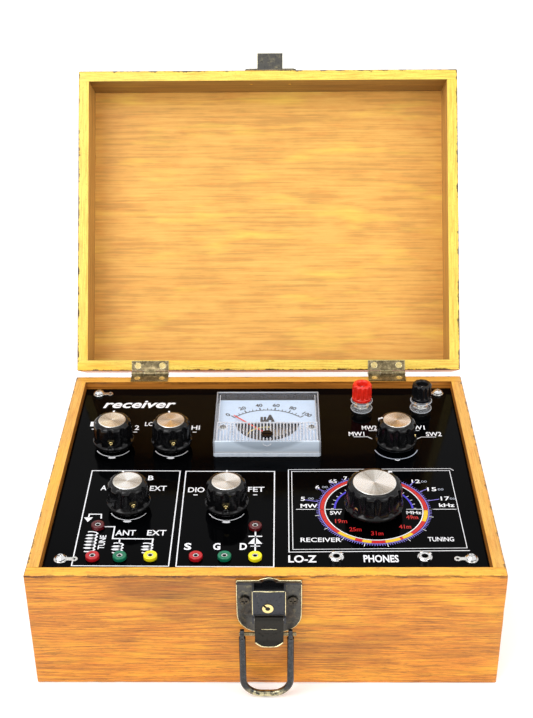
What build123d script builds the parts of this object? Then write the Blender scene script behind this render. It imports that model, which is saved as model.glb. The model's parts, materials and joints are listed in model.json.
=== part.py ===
from build123d import *
import math
import os

os.makedirs("parts", exist_ok=True)

# ---------------------------------------------------------------------------
# Crystal radio set in a hinged wooden case.  Millimetres, +X right, +Y back,
# +Z up.  The origin is the centre of the case's flat underside.
# ---------------------------------------------------------------------------

# case
CASE_W = 250.0          # overall width, X
CASE_D = 198.4          # overall depth, Y
CASE_H = 75.2           # underside to rim
BOARD = 7.0             # wall board thickness
BOTTOM_T = 5.0          # bottom panel thickness
PANEL_DROP = 5.0        # rim to control panel surface
PANEL_T = 1.6           # control panel thickness
PANEL_GAP = 0.3         # panel edge to wall

# lid
LID_GAP = 1.7           # between the rims when closed
LID_FRAME_H = 30.0      # lid wall boards
LID_TOP_T = 5.0         # lid top panel
LID_OPEN = 123.04       # opening angle at the hinge stop, degrees

# hinges
HINGE_OUT = 2.0         # pin axis behind the back face
HINGE_X = 77.0          # hinge centres either side of the middle
HINGE_LEN = 24.0        # leaf length along the pin
LEAF_T = 0.8            # leaf thickness
LEAF_D = 6.5            # leaf depth on the rim
KNUCKLE_R = 1.7
HINGE_PIN_R = 0.75
HINGE_BORE_R = 0.78

# latch
LATCH_X = 2.0           # centre of backplate, lever and catch
BAIL_X = 0.5            # centre of the bail, which floats along its pin
PLATE_W = 34.0
PLATE_T = 1.2
HOOK_X = 1.6            # centre of the catch's hook
HOOK_HALF = 8.4
BLOCK_HALF = 8.7        # half width of the lock block and of the hook
LEVER_Y, LEVER_Z = -108.7, 54.5     # lever pivot
BAIL_Y, BAIL_Z = -109.0, 44.7       # bail pivot
BAIL_LEN = 42.2         # bail pivot to the middle of its cross bar
BAIL_WIRE_R = 1.8
BAIL_HALF = 12.6        # leg centre lines either side of the bail's middle

# knobs
KNOB_H = 19.0
KNOB_R_TOP = 10.6
KNOB_R_SKIRT = 11.9
SPINDLE_R = 3.0
KNOB_POS = {
    "meter_range": (-92.4, 26.2),
    "load": (-57.3, 25.8),
    "coupling": (-76.8, -35.2),
    "detector": (-22.0, -35.8),
    "band": (77.2, 25.5),
}
KNOB_POINT = {          # pointer direction, degrees from +X
    "meter_range": 90.0,
    "load": 100.0,
    "coupling": 110.0,
    "detector": 90.0,
    "band": 165.0,
}
TUNING_POS = (59.8, -37.6)
TUNING_POINT = 48.0
TUNING_H = 19.5
TUNING_R_TOP = 14.6
TUNING_R_SKIRT = 16.2

# moving-coil meter
METER_X, METER_Y = 0.0, 42.85
METER_W, METER_D = 64.0, 56.0
METER_H = 11.0          # cover above the panel
METER_BODY_R = 26.0
METER_DEPTH = 30.0
PIVOT_Y = 27.4          # pointer pivot
METER_BODY_Y = 41.0     # round body behind the panel
ZERO_Y = 22.9           # zero-adjusting screw in the cover
NEEDLE_LEN = 29.0
NEEDLE_REST = 135.0     # zero mark, degrees from +X

# sockets, jacks and binding posts
RED_SOCKETS = [(-92.0, -78.6), (-37.0, -78.6), (-92.3, -52.2), (-5.9, -52.8)]
GREEN_SOCKETS = [(-77.5, -78.6), (-21.8, -78.6)]
YELLOW_SOCKETS = [(-61.2, -78.4), (-5.5, -78.8)]
SOCKET_R = 3.65
SOCKET_RISE = 2.3
SOCKET_BORE_R = 1.0     # 2 mm pin sockets
SOCKET_BORE_L = 12.0
JACK_POS = [(37.5, -79.9), (84.2, -79.9)]
JACK_BORE_R = 1.78      # 3.5 mm plug
JACK_BORE_L = 14.0
POST_POS = {"red": (59.0, 67.5), "black": (96.2, 67.5)}
POST_BORE_R = 2.02      # 4 mm plug
POST_BORE_L = 15.0
SCREW_POS = [(-108.8, 85.4), (108.8, 85.4), (-108.8, -79.9), (108.8, -79.9)]

# derived levels
HW, HD = CASE_W / 2, CASE_D / 2
PANEL_TOP = CASE_H - PANEL_DROP
PANEL_BOT = PANEL_TOP - PANEL_T
IN_X, IN_Y = HW - BOARD, HD - BOARD
HINGE_Y = HD + HINGE_OUT
HINGE_Z = CASE_H + LID_GAP / 2
FRONT = -HD

# The lid is built in a plane fixed to it: local origin on the hinge axis,
# local +Y and +Z are the case's +Y and +Z when the lid is closed.
_a = math.radians(LID_OPEN)
LID_PLANE = Plane(origin=(0, HINGE_Y, HINGE_Z), x_dir=(1, 0, 0),
                  z_dir=(0, math.sin(_a), math.cos(_a)))


def save(piece, name):
    piece.label = name
    export_step(piece, "parts/" + name + ".step")


def lid_box(x0, x1, y0, y1, z0, z1):
    """Centre and size of a box given in closed-lid coordinates."""
    c = ((x0 + x1) / 2, (y0 + y1) / 2 - HINGE_Y, (z0 + z1) / 2 - HINGE_Z)
    return c, (x1 - x0, y1 - y0, z1 - z0)


# ---------------------------------------------------------------------------
# case: four wall boards, bottom panel, corner cleats
# ---------------------------------------------------------------------------
with BuildPart() as case_front_board:
    with Locations((0, -HD + BOARD / 2, CASE_H / 2)):
        Box(CASE_W, BOARD, CASE_H)
    fillet(case_front_board.edges().filter_by(Axis.X).group_by(Axis.Y)[0], 0.7)
    fillet(case_front_board.edges().filter_by(Axis.Z).group_by(Axis.Y)[0], 0.9)
    with Locations((LATCH_X - 12.8, FRONT + 4, 60.2), (LATCH_X + 12.4, FRONT + 4, 60.2)):
        Cylinder(1.1, 10, rotation=(90, 0, 0), mode=Mode.SUBTRACT)
save(case_front_board.part, "case_front_board")

with BuildPart() as case_back_board:
    with Locations((0, HD - BOARD / 2, CASE_H / 2)):
        Box(CASE_W, BOARD, CASE_H)
    fillet(case_back_board.edges().filter_by(Axis.X).group_by(Axis.Y)[-1].group_by(Axis.Z)[0], 0.7)
    fillet(case_back_board.edges().filter_by(Axis.Z).group_by(Axis.Y)[-1], 0.9)
    with Locations([(s * HINGE_X + t * 8.0, HD - 3.4, CASE_H - 4) for s in (-1, 1) for t in (-1, 1)]):
        Cylinder(1.05, 12, mode=Mode.SUBTRACT)
save(case_back_board.part, "case_back_board")

with BuildPart() as case_side_boards:
    with Locations((-HW + BOARD / 2, 0, CASE_H / 2), (HW - BOARD / 2, 0, CASE_H / 2)):
        Box(BOARD, 2 * IN_Y, CASE_H)
save(case_side_boards.part, "case_side_boards")

with BuildPart() as case_bottom_panel:
    with Locations((0, 0, BOTTOM_T / 2)):
        Box(2 * IN_X, 2 * IN_Y, BOTTOM_T)
save(case_bottom_panel.part, "case_bottom_panel")

CLEAT_X, CLEAT_Y, CLEAT_Z = 14.0, 18.0, 24.0
with BuildPart() as panel_cleats:
    with Locations([(sx * (IN_X - CLEAT_X / 2), sy * (IN_Y - CLEAT_Y / 2), PANEL_BOT - CLEAT_Z / 2)
                    for sx in (-1, 1) for sy in (-1, 1)]):
        Box(CLEAT_X, CLEAT_Y, CLEAT_Z)
    with Locations([(x, y, PANEL_BOT - 6) for x, y in SCREW_POS]):
        Cylinder(1.4, 16, mode=Mode.SUBTRACT)
save(panel_cleats.part, "panel_cleats")

# ---------------------------------------------------------------------------
# control panel with every cut-out
# ---------------------------------------------------------------------------
with BuildPart() as control_panel:
    with Locations((0, 0, PANEL_TOP - PANEL_T / 2)):
        Box(2 * (IN_X - PANEL_GAP), 2 * (IN_Y - PANEL_GAP), PANEL_T)
    with Locations((METER_X, METER_BODY_Y, PANEL_TOP)):
        Cylinder(METER_BODY_R + 0.4, 10, mode=Mode.SUBTRACT)
    with Locations([(x, y, PANEL_TOP) for x, y in KNOB_POS.values()] + [(*TUNING_POS, PANEL_TOP)]):
        Cylinder(4.6, 10, mode=Mode.SUBTRACT)
    with Locations([(x, y, PANEL_TOP) for x, y in RED_SOCKETS + GREEN_SOCKETS + YELLOW_SOCKETS]):
        Cylinder(2.55, 10, mode=Mode.SUBTRACT)
    with Locations([(x, y, PANEL_TOP) for x, y in JACK_POS]):
        Cylinder(3.05, 10, mode=Mode.SUBTRACT)
    with Locations([(x, y, PANEL_TOP) for x, y in POST_POS.values()]):
        Cylinder(3.1, 10, mode=Mode.SUBTRACT)
    with Locations([(x, y, PANEL_TOP) for x, y in SCREW_POS]):
        Cylinder(1.5, 10, mode=Mode.SUBTRACT)
save(control_panel.part, "control_panel")

# solder lugs and the dome screws that clamp them
LUG_T = 0.6
with BuildPart() as solder_lugs:
    for i, (x, y) in enumerate(SCREW_POS):
        sx = 1 if x > 0 else -1
        with BuildSketch(Plane.XY.offset(PANEL_TOP)):
            with Locations((x, y)):
                Circle(3.6)
            with Locations((x - sx * 4.6, y)):
                Rectangle(5.0, 2.4)
            with Locations((x - sx * 7.2, y)):
                Circle(1.9)
            with Locations((x, y)):
                Circle(1.5, mode=Mode.SUBTRACT)
            with Locations((x - sx * 7.2, y)):
                Circle(0.8, mode=Mode.SUBTRACT)
        extrude(amount=LUG_T)
save(solder_lugs.part, "solder_lugs")

with BuildPart() as panel_screws:
    with Locations([(x, y, PANEL_TOP + LUG_T) for x, y in SCREW_POS]):
        Cylinder(3.0, 1.0, align=(Align.CENTER, Align.CENTER, Align.MIN))
    with Locations([(x, y, PANEL_TOP + LUG_T + 1.0) for x, y in SCREW_POS]):
        Cone(3.0, 1.6, 1.1, align=(Align.CENTER, Align.CENTER, Align.MIN))
    with Locations([(x, y, PANEL_TOP + LUG_T) for x, y in SCREW_POS]):
        Cylinder(1.35, 13.0, align=(Align.CENTER, Align.CENTER, Align.MAX))
    with Locations([(x, y, PANEL_TOP + LUG_T + 1.7) for x, y in SCREW_POS]):
        Box(3.2, 0.7, 1.4, mode=Mode.SUBTRACT)
        Box(0.7, 3.2, 1.4, mode=Mode.SUBTRACT)
save(panel_screws.part, "panel_screws")

# ---------------------------------------------------------------------------
# butt hinges
# ---------------------------------------------------------------------------
K1 = 4.0                # middle knuckle half length
with BuildPart() as hinge_leaves_case:
    for s in (-1, 1):
        hx = s * HINGE_X
        with Locations((hx, HD - LEAF_D / 2, CASE_H + LEAF_T / 2)):
            Box(HINGE_LEN, LEAF_D, LEAF_T)
        for t in (-1, 1):
            kx = hx + t * (HINGE_LEN / 2 + K1) / 2
            kl = HINGE_LEN / 2 - K1 - 0.15
            with Locations((kx, HD + HINGE_OUT / 2, CASE_H + LEAF_T / 2)):
                Box(kl, HINGE_OUT + 0.2, LEAF_T)
            with Locations((kx, HINGE_Y, HINGE_Z)):
                Cylinder(KNUCKLE_R, kl, rotation=(0, 90, 0))
        with Locations((hx, HINGE_Y, HINGE_Z)):
            Cylinder(HINGE_BORE_R, HINGE_LEN + 2, rotation=(0, 90, 0), mode=Mode.SUBTRACT)
        with Locations((hx - 8, HD - 3.4, CASE_H), (hx + 8, HD - 3.4, CASE_H)):
            Cone(1.2, 2.0, LEAF_T, align=(Align.CENTER, Align.CENTER, Align.MIN), mode=Mode.SUBTRACT)
save(hinge_leaves_case.part, "hinge_leaves_case")

with BuildPart(LID_PLANE) as hinge_leaves_lid:
    for s in (-1, 1):
        hx = s * HINGE_X
        c, d = lid_box(hx - HINGE_LEN / 2, hx + HINGE_LEN / 2, HD - LEAF_D, HD,
                       CASE_H + LID_GAP - LEAF_T, CASE_H + LID_GAP)
        with Locations(c):
            Box(*d)
        c, d = lid_box(hx - K1 + 0.15, hx + K1 - 0.15, HD - 0.1, HINGE_Y,
                       CASE_H + LID_GAP - LEAF_T, CASE_H + LID_GAP)
        with Locations(c):
            Box(*d)
        with Locations((hx, 0, 0)):
            Cylinder(KNUCKLE_R, 2 * K1 - 0.3, rotation=(0, 90, 0))
            Cylinder(HINGE_BORE_R, HINGE_LEN, rotation=(0, 90, 0), mode=Mode.SUBTRACT)
        with Locations([(hx + t * 8, HD - 3.4 - HINGE_Y, CASE_H + LID_GAP - LEAF_T - HINGE_Z) for t in (-1, 1)]):
            Cone(2.0, 1.2, LEAF_T, align=(Align.CENTER, Align.CENTER, Align.MIN), mode=Mode.SUBTRACT)
save(hinge_leaves_lid.part, "hinge_leaves_lid")

# hinge pins and the latch lever's pivot pin
with BuildPart() as pivot_pins:
    for s in (-1, 1):
        with Locations((s * HINGE_X, HINGE_Y, HINGE_Z)):
            Cylinder(HINGE_PIN_R, HINGE_LEN + 0.6, rotation=(0, 90, 0))
    with Locations((LATCH_X, LEVER_Y, LEVER_Z)):
        Cylinder(0.8, 2 * BLOCK_HALF, rotation=(0, 90, 0))
save(pivot_pins.part, "pivot_pins")

# ---------------------------------------------------------------------------
# latch: backplate with lock block, lever, bail, catch
# ---------------------------------------------------------------------------
BLOCK_FRONT = -108.0
PLATE_TOP, PLATE_BOT = 72.6, 38.0
with BuildPart() as latch_backplate:
    with BuildSketch(Plane.XZ.offset(HD)):
        with BuildLine():
            Polyline((LATCH_X - 17, 50), (LATCH_X - 17, PLATE_TOP), (LATCH_X + 17, PLATE_TOP), (LATCH_X + 17, 50))
            ThreePointArc((LATCH_X + 17, 50), (LATCH_X + 13.0, 41.6), (LATCH_X + 5, PLATE_BOT))
            Line((LATCH_X + 5, PLATE_BOT), (LATCH_X - 5, PLATE_BOT))
            ThreePointArc((LATCH_X - 5, PLATE_BOT), (LATCH_X - 13.0, 41.6), (LATCH_X - 17, 50))
        make_face()
    extrude(amount=PLATE_T)
    # rolled top lip with its raised middle
    with Locations((LATCH_X, FRONT - 1.3, PLATE_TOP - 0.5)):
        Box(PLATE_W, 2.6, 1.0)
    with BuildSketch(Plane.XZ.offset(HD)):
        with Locations((LATCH_X, PLATE_TOP - 2.6)):
            Circle(4.6)
            Circle(3.5, mode=Mode.SUBTRACT)
        with Locations((LATCH_X, PLATE_TOP - 7.0)):
            Rectangle(12, 9.0, mode=Mode.SUBTRACT)
    extrude(amount=2.6)
    # hollow lock block, open at its top and bottom
    with Locations((LATCH_X, (BLOCK_FRONT + FRONT - PLATE_T) / 2, 63.0)):
        Box(2 * BLOCK_HALF, -(BLOCK_FRONT - FRONT) - PLATE_T + 0.4, 18.6)
    fillet(latch_backplate.edges().filter_by(Axis.Z).group_by(Axis.Y)[0], 0.8)
    with Locations((LATCH_X, (BLOCK_FRONT + FRONT - PLATE_T) / 2 + 0.1, 72.3)):
        Box(2 * BLOCK_HALF - 2.0, 5.2, 5.0, mode=Mode.SUBTRACT)
    # ears for the lever pivot
    for s in (-1, 1):
        with Locations((LATCH_X + s * (BLOCK_HALF - 0.5), (LEVER_Y + FRONT) / 2 - 0.6, LEVER_Z - 0.2)):
            Box(1.0, -(LEVER_Y - FRONT) + 0.6, 4.2)
    with Locations((LATCH_X, -107.2, 53.4)):
        Box(2 * BLOCK_HALF - 2.0, 6.4, 6.4, mode=Mode.SUBTRACT)
    with Locations((LATCH_X, LEVER_Y, LEVER_Z)):
        Cylinder(0.8, 30, rotation=(0, 90, 0), mode=Mode.SUBTRACT)
    # lock barrel seat and screw holes
    with Locations((LATCH_X - 0.6, BLOCK_FRONT + 1.5, 61.4)):
        Cylinder(2.95, 6.0, rotation=(90, 0, 0), mode=Mode.SUBTRACT)
    with Locations((LATCH_X - 12.8, FRONT, 60.2), (LATCH_X + 12.4, FRONT, 60.2)):
        Cylinder(1.3, 6, rotation=(90, 0, 0), mode=Mode.SUBTRACT)
save(latch_backplate.part, "latch_backplate")

with BuildPart() as lock_cylinder:
    with Locations((LATCH_X - 0.6, BLOCK_FRONT + 1.75, 61.4)):
        Cylinder(2.9, 4.9, rotation=(90, 0, 0))
    with Locations((LATCH_X - 0.6, BLOCK_FRONT - 0.7, 61.4)):
        Cylinder(1.0, 3.0, rotation=(90, 0, 0), mode=Mode.SUBTRACT)
    with Locations((LATCH_X - 1.7, BLOCK_FRONT - 0.7, 62.5)):
        Box(3.2, 3.0, 1.0, rotation=(0, 45, 0), mode=Mode.SUBTRACT)
save(lock_cylinder.part, "lock_cylinder")

# lever: pivot barrel, thumb plate curling outwards, two cheeks for the bail pin
LH = BLOCK_HALF - 1.25
with BuildPart() as latch_lever:
    with BuildSketch(Plane.YZ.offset(LATCH_X)):
        with BuildLine():
            Polyline((LEVER_Y - 1.7, LEVER_Z), (LEVER_Y - 1.7, 45.0), (LEVER_Y - 2.3, 42.0), (LEVER_Y - 3.8, 39.2),
                     (LEVER_Y - 3.0, 38.4), (LEVER_Y - 1.2, 41.5), (LEVER_Y - 0.5, 45.0), (LEVER_Y - 0.5, LEVER_Z),
                     (LEVER_Y - 1.7, LEVER_Z))
        make_face()
    extrude(amount=LH, both=True)
    with Locations((LATCH_X, LEVER_Y, LEVER_Z)):
        Cylinder(1.7, 2 * LH, rotation=(0, 90, 0))
    for s in (-1, 1):
        with BuildSketch(Plane.YZ.offset(LATCH_X + s * (LH - 0.6))):
            with BuildLine():
                Polyline((LEVER_Y - 1.0, LEVER_Z), (LEVER_Y + 1.7, LEVER_Z), (LEVER_Y + 1.9, 43.4), (LEVER_Y - 0.2, 42.2),
                         (LEVER_Y - 1.0, 42.2), (LEVER_Y - 1.0, LEVER_Z))
            make_face()
        extrude(amount=0.6, both=True)
    # the thumb plate's lower edge is a shallow arc
    with BuildSketch(Plane.XZ.offset(-LEVER_Y)):
        with BuildLine():
            Polyline((LATCH_X - LH, 41.0), (LATCH_X - LH, LEVER_Z + 4), (LATCH_X + LH, LEVER_Z + 4), (LATCH_X + LH, 41.0))
            ThreePointArc((LATCH_X + LH, 41.0), (LATCH_X, 38.2), (LATCH_X - LH, 41.0))
        make_face()
    extrude(amount=8, both=True, mode=Mode.INTERSECT)
    with Locations((LATCH_X, BAIL_Y, BAIL_Z)):
        Cylinder(1.0, 30, rotation=(0, 90, 0), mode=Mode.SUBTRACT)
    with Locations((LATCH_X, LEVER_Y, LEVER_Z)):
        Cylinder(0.84, 30, rotation=(0, 90, 0), mode=Mode.SUBTRACT)
save(latch_lever.part, "latch_lever")

with BuildPart() as bail_pin:
    with Locations(((BAIL_X + LATCH_X) / 2, BAIL_Y, BAIL_Z)):
        Cylinder(1.0, 29.8, rotation=(0, 90, 0))
save(bail_pin.part, "bail_pin")

# bail: bent wire with flattened eyes, hanging from its pin
BAR_Z = BAIL_Z - BAIL_LEN
BEND = 10.0
with BuildPart() as latch_bail:
    with BuildLine(Plane.XZ.offset(-BAIL_Y)) as bail_path:
        FilletPolyline((BAIL_X - BAIL_HALF, BAIL_Z - 2.6), (BAIL_X - BAIL_HALF, BAR_Z),
                       (BAIL_X + BAIL_HALF, BAR_Z), (BAIL_X + BAIL_HALF, BAIL_Z - 2.6), radius=BEND)
    with BuildSketch(Plane(origin=(BAIL_X - BAIL_HALF, BAIL_Y, BAIL_Z - 2.6), z_dir=(0, 0, -1))):
        Circle(BAIL_WIRE_R)
    sweep(path=bail_path.wires()[0])
    for s in (-1, 1):
        with Locations((BAIL_X + s * BAIL_HALF, BAIL_Y, BAIL_Z)):
            Cylinder(2.5, 2.2, rotation=(0, 90, 0))
        with Locations((BAIL_X + s * BAIL_HALF, BAIL_Y, BAIL_Z - 2.4)):
            Box(2.2, 3.0, 2.4)
    with Locations((BAIL_X, BAIL_Y, BAIL_Z)):
        Cylinder(1.06, 40, rotation=(0, 90, 0), mode=Mode.SUBTRACT)
save(latch_bail.part, "latch_bail")

# catch on the lid: flange and upturned hook
CATCH_Z0 = CASE_H + LID_GAP + 0.5
with BuildPart(LID_PLANE) as lid_catch:
    c, d = lid_box(LATCH_X - 16.9, LATCH_X + 16.9, FRONT - 1.2, FRONT, CATCH_Z0, CATCH_Z0 + 17)
    with Locations(c):
        Box(*d)
    fillet(lid_catch.edges().filter_by(lambda e: abs(e.length - 1.2) < 0.01), 3.0)
    c, d = lid_box(HOOK_X - HOOK_HALF, HOOK_X + HOOK_HALF, -110.6, FRONT - 0.6, CATCH_Z0, CATCH_Z0 + 2.6)
    with Locations(c):
        Box(*d)
    c, d = lid_box(HOOK_X - HOOK_HALF, HOOK_X + HOOK_HALF, -110.6, -109.2, CATCH_Z0, CATCH_Z0 + 8.4)
    with Locations(c):
        Box(*d)
    for s in (-1, 1):
        with Locations((LATCH_X + s * 12.9, FRONT - HINGE_Y, CATCH_Z0 + 9.0 - HINGE_Z)):
            Cylinder(1.3, 6, rotation=(90, 0, 0), mode=Mode.SUBTRACT)
save(lid_catch.part, "lid_catch")

# countersunk and round-head wood screws on the case
with BuildPart() as case_screws:
    for s in (-1, 1):
        for t in (-1, 1):
            with Locations((s * HINGE_X + t * 8.0, HD - 3.4, CASE_H + LEAF_T)):
                Cylinder(1.0, 9.0, align=(Align.CENTER, Align.CENTER, Align.MAX))
                Cone(1.15, 1.95, LEAF_T, align=(Align.CENTER, Align.CENTER, Align.MAX))
                Box(4.2, 0.5, 0.6, rotation=(0, 0, 35 * s + 50 * t), mode=Mode.SUBTRACT)
    for x in (LATCH_X - 12.8, LATCH_X + 12.4):
        with Locations((x, FRONT - PLATE_T - 0.6, 60.2)):
            Cylinder(2.7, 1.2, rotation=(90, 0, 0))
        with Locations((x, FRONT + 3.0, 60.2)):
            Cylinder(1.05, 9.0, rotation=(90, 0, 0))
        with Locations((x, FRONT - PLATE_T - 1.2, 60.2)):
            Box(3.2, 1.0, 0.7, mode=Mode.SUBTRACT)
            Box(0.7, 1.0, 3.2, mode=Mode.SUBTRACT)
save(case_screws.part, "case_screws")

with BuildPart(LID_PLANE) as lid_screws:
    for s in (-1, 1):
        for t in (-1, 1):
            with Locations((s * HINGE_X + t * 8.0, HD - 3.4 - HINGE_Y, CASE_H + LID_GAP - LEAF_T - HINGE_Z)):
                Cylinder(1.0, 9.0, align=(Align.CENTER, Align.CENTER, Align.MIN))
                Cone(1.95, 1.15, LEAF_T, align=(Align.CENTER, Align.CENTER, Align.MIN))
                Box(4.2, 0.5, 0.6, rotation=(0, 0, 20 * s - 35 * t), mode=Mode.SUBTRACT)
        with Locations((LATCH_X + s * 12.9, FRONT - 1.8 - HINGE_Y, CATCH_Z0 + 9.0 - HINGE_Z)):
            Cylinder(2.5, 1.2, rotation=(90, 0, 0))
        with Locations((LATCH_X + s * 12.9, FRONT + 2.8 - HINGE_Y, CATCH_Z0 + 9.0 - HINGE_Z)):
            Cylinder(1.05, 8.4, rotation=(90, 0, 0))
save(lid_screws.part, "lid_screws")

# ---------------------------------------------------------------------------
# lid
# ---------------------------------------------------------------------------
LZ0 = CASE_H + LID_GAP
LZ1 = LZ0 + LID_FRAME_H
with BuildPart(LID_PLANE) as lid_front_board:
    c, d = lid_box(-HW, HW, -HD, -HD + BOARD, LZ0, LZ1)
    with Locations(c):
        Box(*d)
    with Locations([(LATCH_X + s * 12.9, FRONT + 2.8 - HINGE_Y, CATCH_Z0 + 9.0 - HINGE_Z) for s in (-1, 1)]):
        Cylinder(1.1, 9.0, rotation=(90, 0, 0), mode=Mode.SUBTRACT)
save(lid_front_board.part, "lid_front_board")

with BuildPart(LID_PLANE) as lid_back_board:
    c, d = lid_box(-HW, HW, HD - BOARD, HD, LZ0, LZ1)
    with Locations(c):
        Box(*d)
    with Locations([(s * HINGE_X + t * 8.0, HD - 3.4 - HINGE_Y, LZ0 + 4.5 - HINGE_Z) for s in (-1, 1) for t in (-1, 1)]):
        Cylinder(1.05, 9.4, mode=Mode.SUBTRACT)
save(lid_back_board.part, "lid_back_board")

with BuildPart(LID_PLANE) as lid_side_boards:
    for s in (-1, 1):
        x0, x1 = sorted((s * HW, s * (HW - BOARD)))
        c, d = lid_box(x0, x1, -IN_Y, IN_Y, LZ0, LZ1)
        with Locations(c):
            Box(*d)
save(lid_side_boards.part, "lid_side_boards")

with BuildPart(LID_PLANE) as lid_top_panel:
    c, d = lid_box(-HW, HW, -HD, HD, LZ1, LZ1 + LID_TOP_T)
    with Locations(c):
        Box(*d)
    _far = lid_top_panel.faces().sort_by(lambda f: (f.center() - LID_PLANE.origin).dot(LID_PLANE.z_dir))[-1]
    fillet(_far.edges(), 1.6)
save(lid_top_panel.part, "lid_top_panel")

# ---------------------------------------------------------------------------
# moving-coil meter
# ---------------------------------------------------------------------------
BASE_H = 2.6            # opaque base of the meter above the panel
with BuildPart() as meter_housing:
    with Locations((METER_X, METER_Y, PANEL_TOP + BASE_H / 2)):
        Box(METER_W, METER_D, BASE_H)
    fillet(meter_housing.edges().filter_by(Axis.Z), 1.6)
    with Locations((METER_X, METER_BODY_Y, PANEL_TOP)):
        Cylinder(METER_BODY_R, METER_DEPTH, align=(Align.CENTER, Align.CENTER, Align.MAX))
    with Locations((METER_X, METER_BODY_Y, PANEL_TOP + BASE_H)):
        Cylinder(METER_BODY_R - 1.6, METER_DEPTH + BASE_H - 2.0, align=(Align.CENTER, Align.CENTER, Align.MAX),
                 mode=Mode.SUBTRACT)
    # two terminal studs at the back
    with Locations((METER_X - 12, METER_Y, PANEL_TOP - METER_DEPTH), (METER_X + 12, METER_Y, PANEL_TOP - METER_DEPTH)):
        Cylinder(2.0, 9.0, align=(Align.CENTER, Align.CENTER, Align.MAX))
save(meter_housing.part, "meter_housing")

COVER_T = 1.5
with BuildPart() as meter_cover:
    with Locations((METER_X, METER_Y, (PANEL_TOP + BASE_H + PANEL_TOP + METER_H) / 2)):
        Box(METER_W, METER_D, METER_H - BASE_H)
    fillet(meter_cover.edges().filter_by(Axis.Z), 1.6)
    fillet(meter_cover.faces().sort_by(Axis.Z)[-1].edges(), 0.8)
    with Locations((METER_X, METER_Y, (PANEL_TOP + BASE_H + PANEL_TOP + METER_H) / 2 - COVER_T)):
        Box(METER_W - 2 * COVER_T, METER_D - 2 * COVER_T, METER_H - BASE_H, mode=Mode.SUBTRACT)
    # moulded ribs across the middle of the window
    with Locations((METER_X, 26.1, PANEL_TOP + METER_H - 0.1)):
        with GridLocations(3.0, 0, 20, 1):
            Box(1.4, 19.4, 0.8)
    with Locations((METER_X, ZERO_Y, PANEL_TOP + METER_H)):
        Cylinder(3.5, 10, mode=Mode.SUBTRACT)
save(meter_cover.part, "meter_cover")

DIAL_Z = PANEL_TOP + 6.0
with BuildPart() as meter_dial:
    with BuildSketch(Plane.XY.offset(DIAL_Z)):
        with Locations((METER_X, 42.5)):
            Rectangle(60.0, 50.0)
        # half-round window over the movement
        with BuildLine():
            l1 = Line((METER_X - 19.5, 42.0), (METER_X + 19.5, 42.0))
            ThreePointArc(l1 @ 1, (METER_X, 22.5), l1 @ 0)
        make_face(mode=Mode.SUBTRACT)
    extrude(amount=0.6)
    # pillars down to the base
    with Locations((METER_X - 26.8, 36.0, DIAL_Z), (METER_X + 26.8, 36.0, DIAL_Z)):
        Cylinder(1.8, 6.0 - BASE_H, align=(Align.CENTER, Align.CENTER, Align.MAX))
        Cylinder(1.7, 0.9, align=(Align.CENTER, Align.CENTER, Align.MIN))
save(meter_dial.part, "meter_dial")

MAG_Z0, MAG_Z1 = 45.0, 70.0
with BuildPart() as meter_magnet:
    with BuildSketch(Plane.XY.offset(MAG_Z0)):
        with Locations((METER_X, PIVOT_Y)):
            Circle(10.2)
            Circle(7.2, mode=Mode.SUBTRACT)
    extrude(amount=MAG_Z1 - MAG_Z0)
    with Locations((METER_X, PIVOT_Y, (MAG_Z0 + MAG_Z1) / 2)):
        Cylinder(4.0, 15.0)
        Box(2.4, 18.0, 4.0)
    # feet onto the housing floor
    with Locations((METER_X - 8.6, PIVOT_Y, MAG_Z0), (METER_X + 8.6, PIVOT_Y, MAG_Z0)):
        Cylinder(1.4, MAG_Z0 - (PANEL_TOP - METER_DEPTH + 2.0), align=(Align.CENTER, Align.CENTER, Align.MAX))
save(meter_magnet.part, "meter_magnet")

_cz = (MAG_Z0 + MAG_Z1) / 2
with BuildPart(Plane(origin=(METER_X, PIVOT_Y, _cz), x_dir=(math.sin(math.radians(NEEDLE_REST)),
                                                         -math.cos(math.radians(NEEDLE_REST)), 0),
                     z_dir=(0, 0, 1))) as meter_coil:
    Box(12.4, 3.0, 20.0)
    Box(9.8, 6.0, 16.4, mode=Mode.SUBTRACT)
save(meter_coil.part, "meter_coil")

_nd = math.radians(NEEDLE_REST)
with BuildPart(Plane(origin=(METER_X, PIVOT_Y, DIAL_Z + 2.0), x_dir=(math.cos(_nd), math.sin(_nd), 0),
                     z_dir=(0, 0, 1))) as meter_pointer:
    with Locations((NEEDLE_LEN / 2 - 3, 0, 0)):
        Box(NEEDLE_LEN + 6, 0.7, 0.4)
    with Locations((-4.5, 0, 0)):
        Box(3.4, 2.6, 0.6)
    Cylinder(1.7, 0.8)
    with Locations((0, 0, 0)):
        Cylinder(0.6, DIAL_Z + 2.0 - (_cz + 10.0), align=(Align.CENTER, Align.CENTER, Align.MAX))
save(meter_pointer.part, "meter_pointer")

with BuildPart() as meter_zero_screw:
    with Locations((METER_X, ZERO_Y, PANEL_TOP + METER_H + 0.5)):
        Cylinder(3.4, 2.4, align=(Align.CENTER, Align.CENTER, Align.MAX))
    with Locations((METER_X, ZERO_Y, PANEL_TOP + METER_H + 0.5)):
        Box(5.2, 0.9, 1.6, mode=Mode.SUBTRACT)
save(meter_zero_screw.part, "meter_zero_screw")

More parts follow.
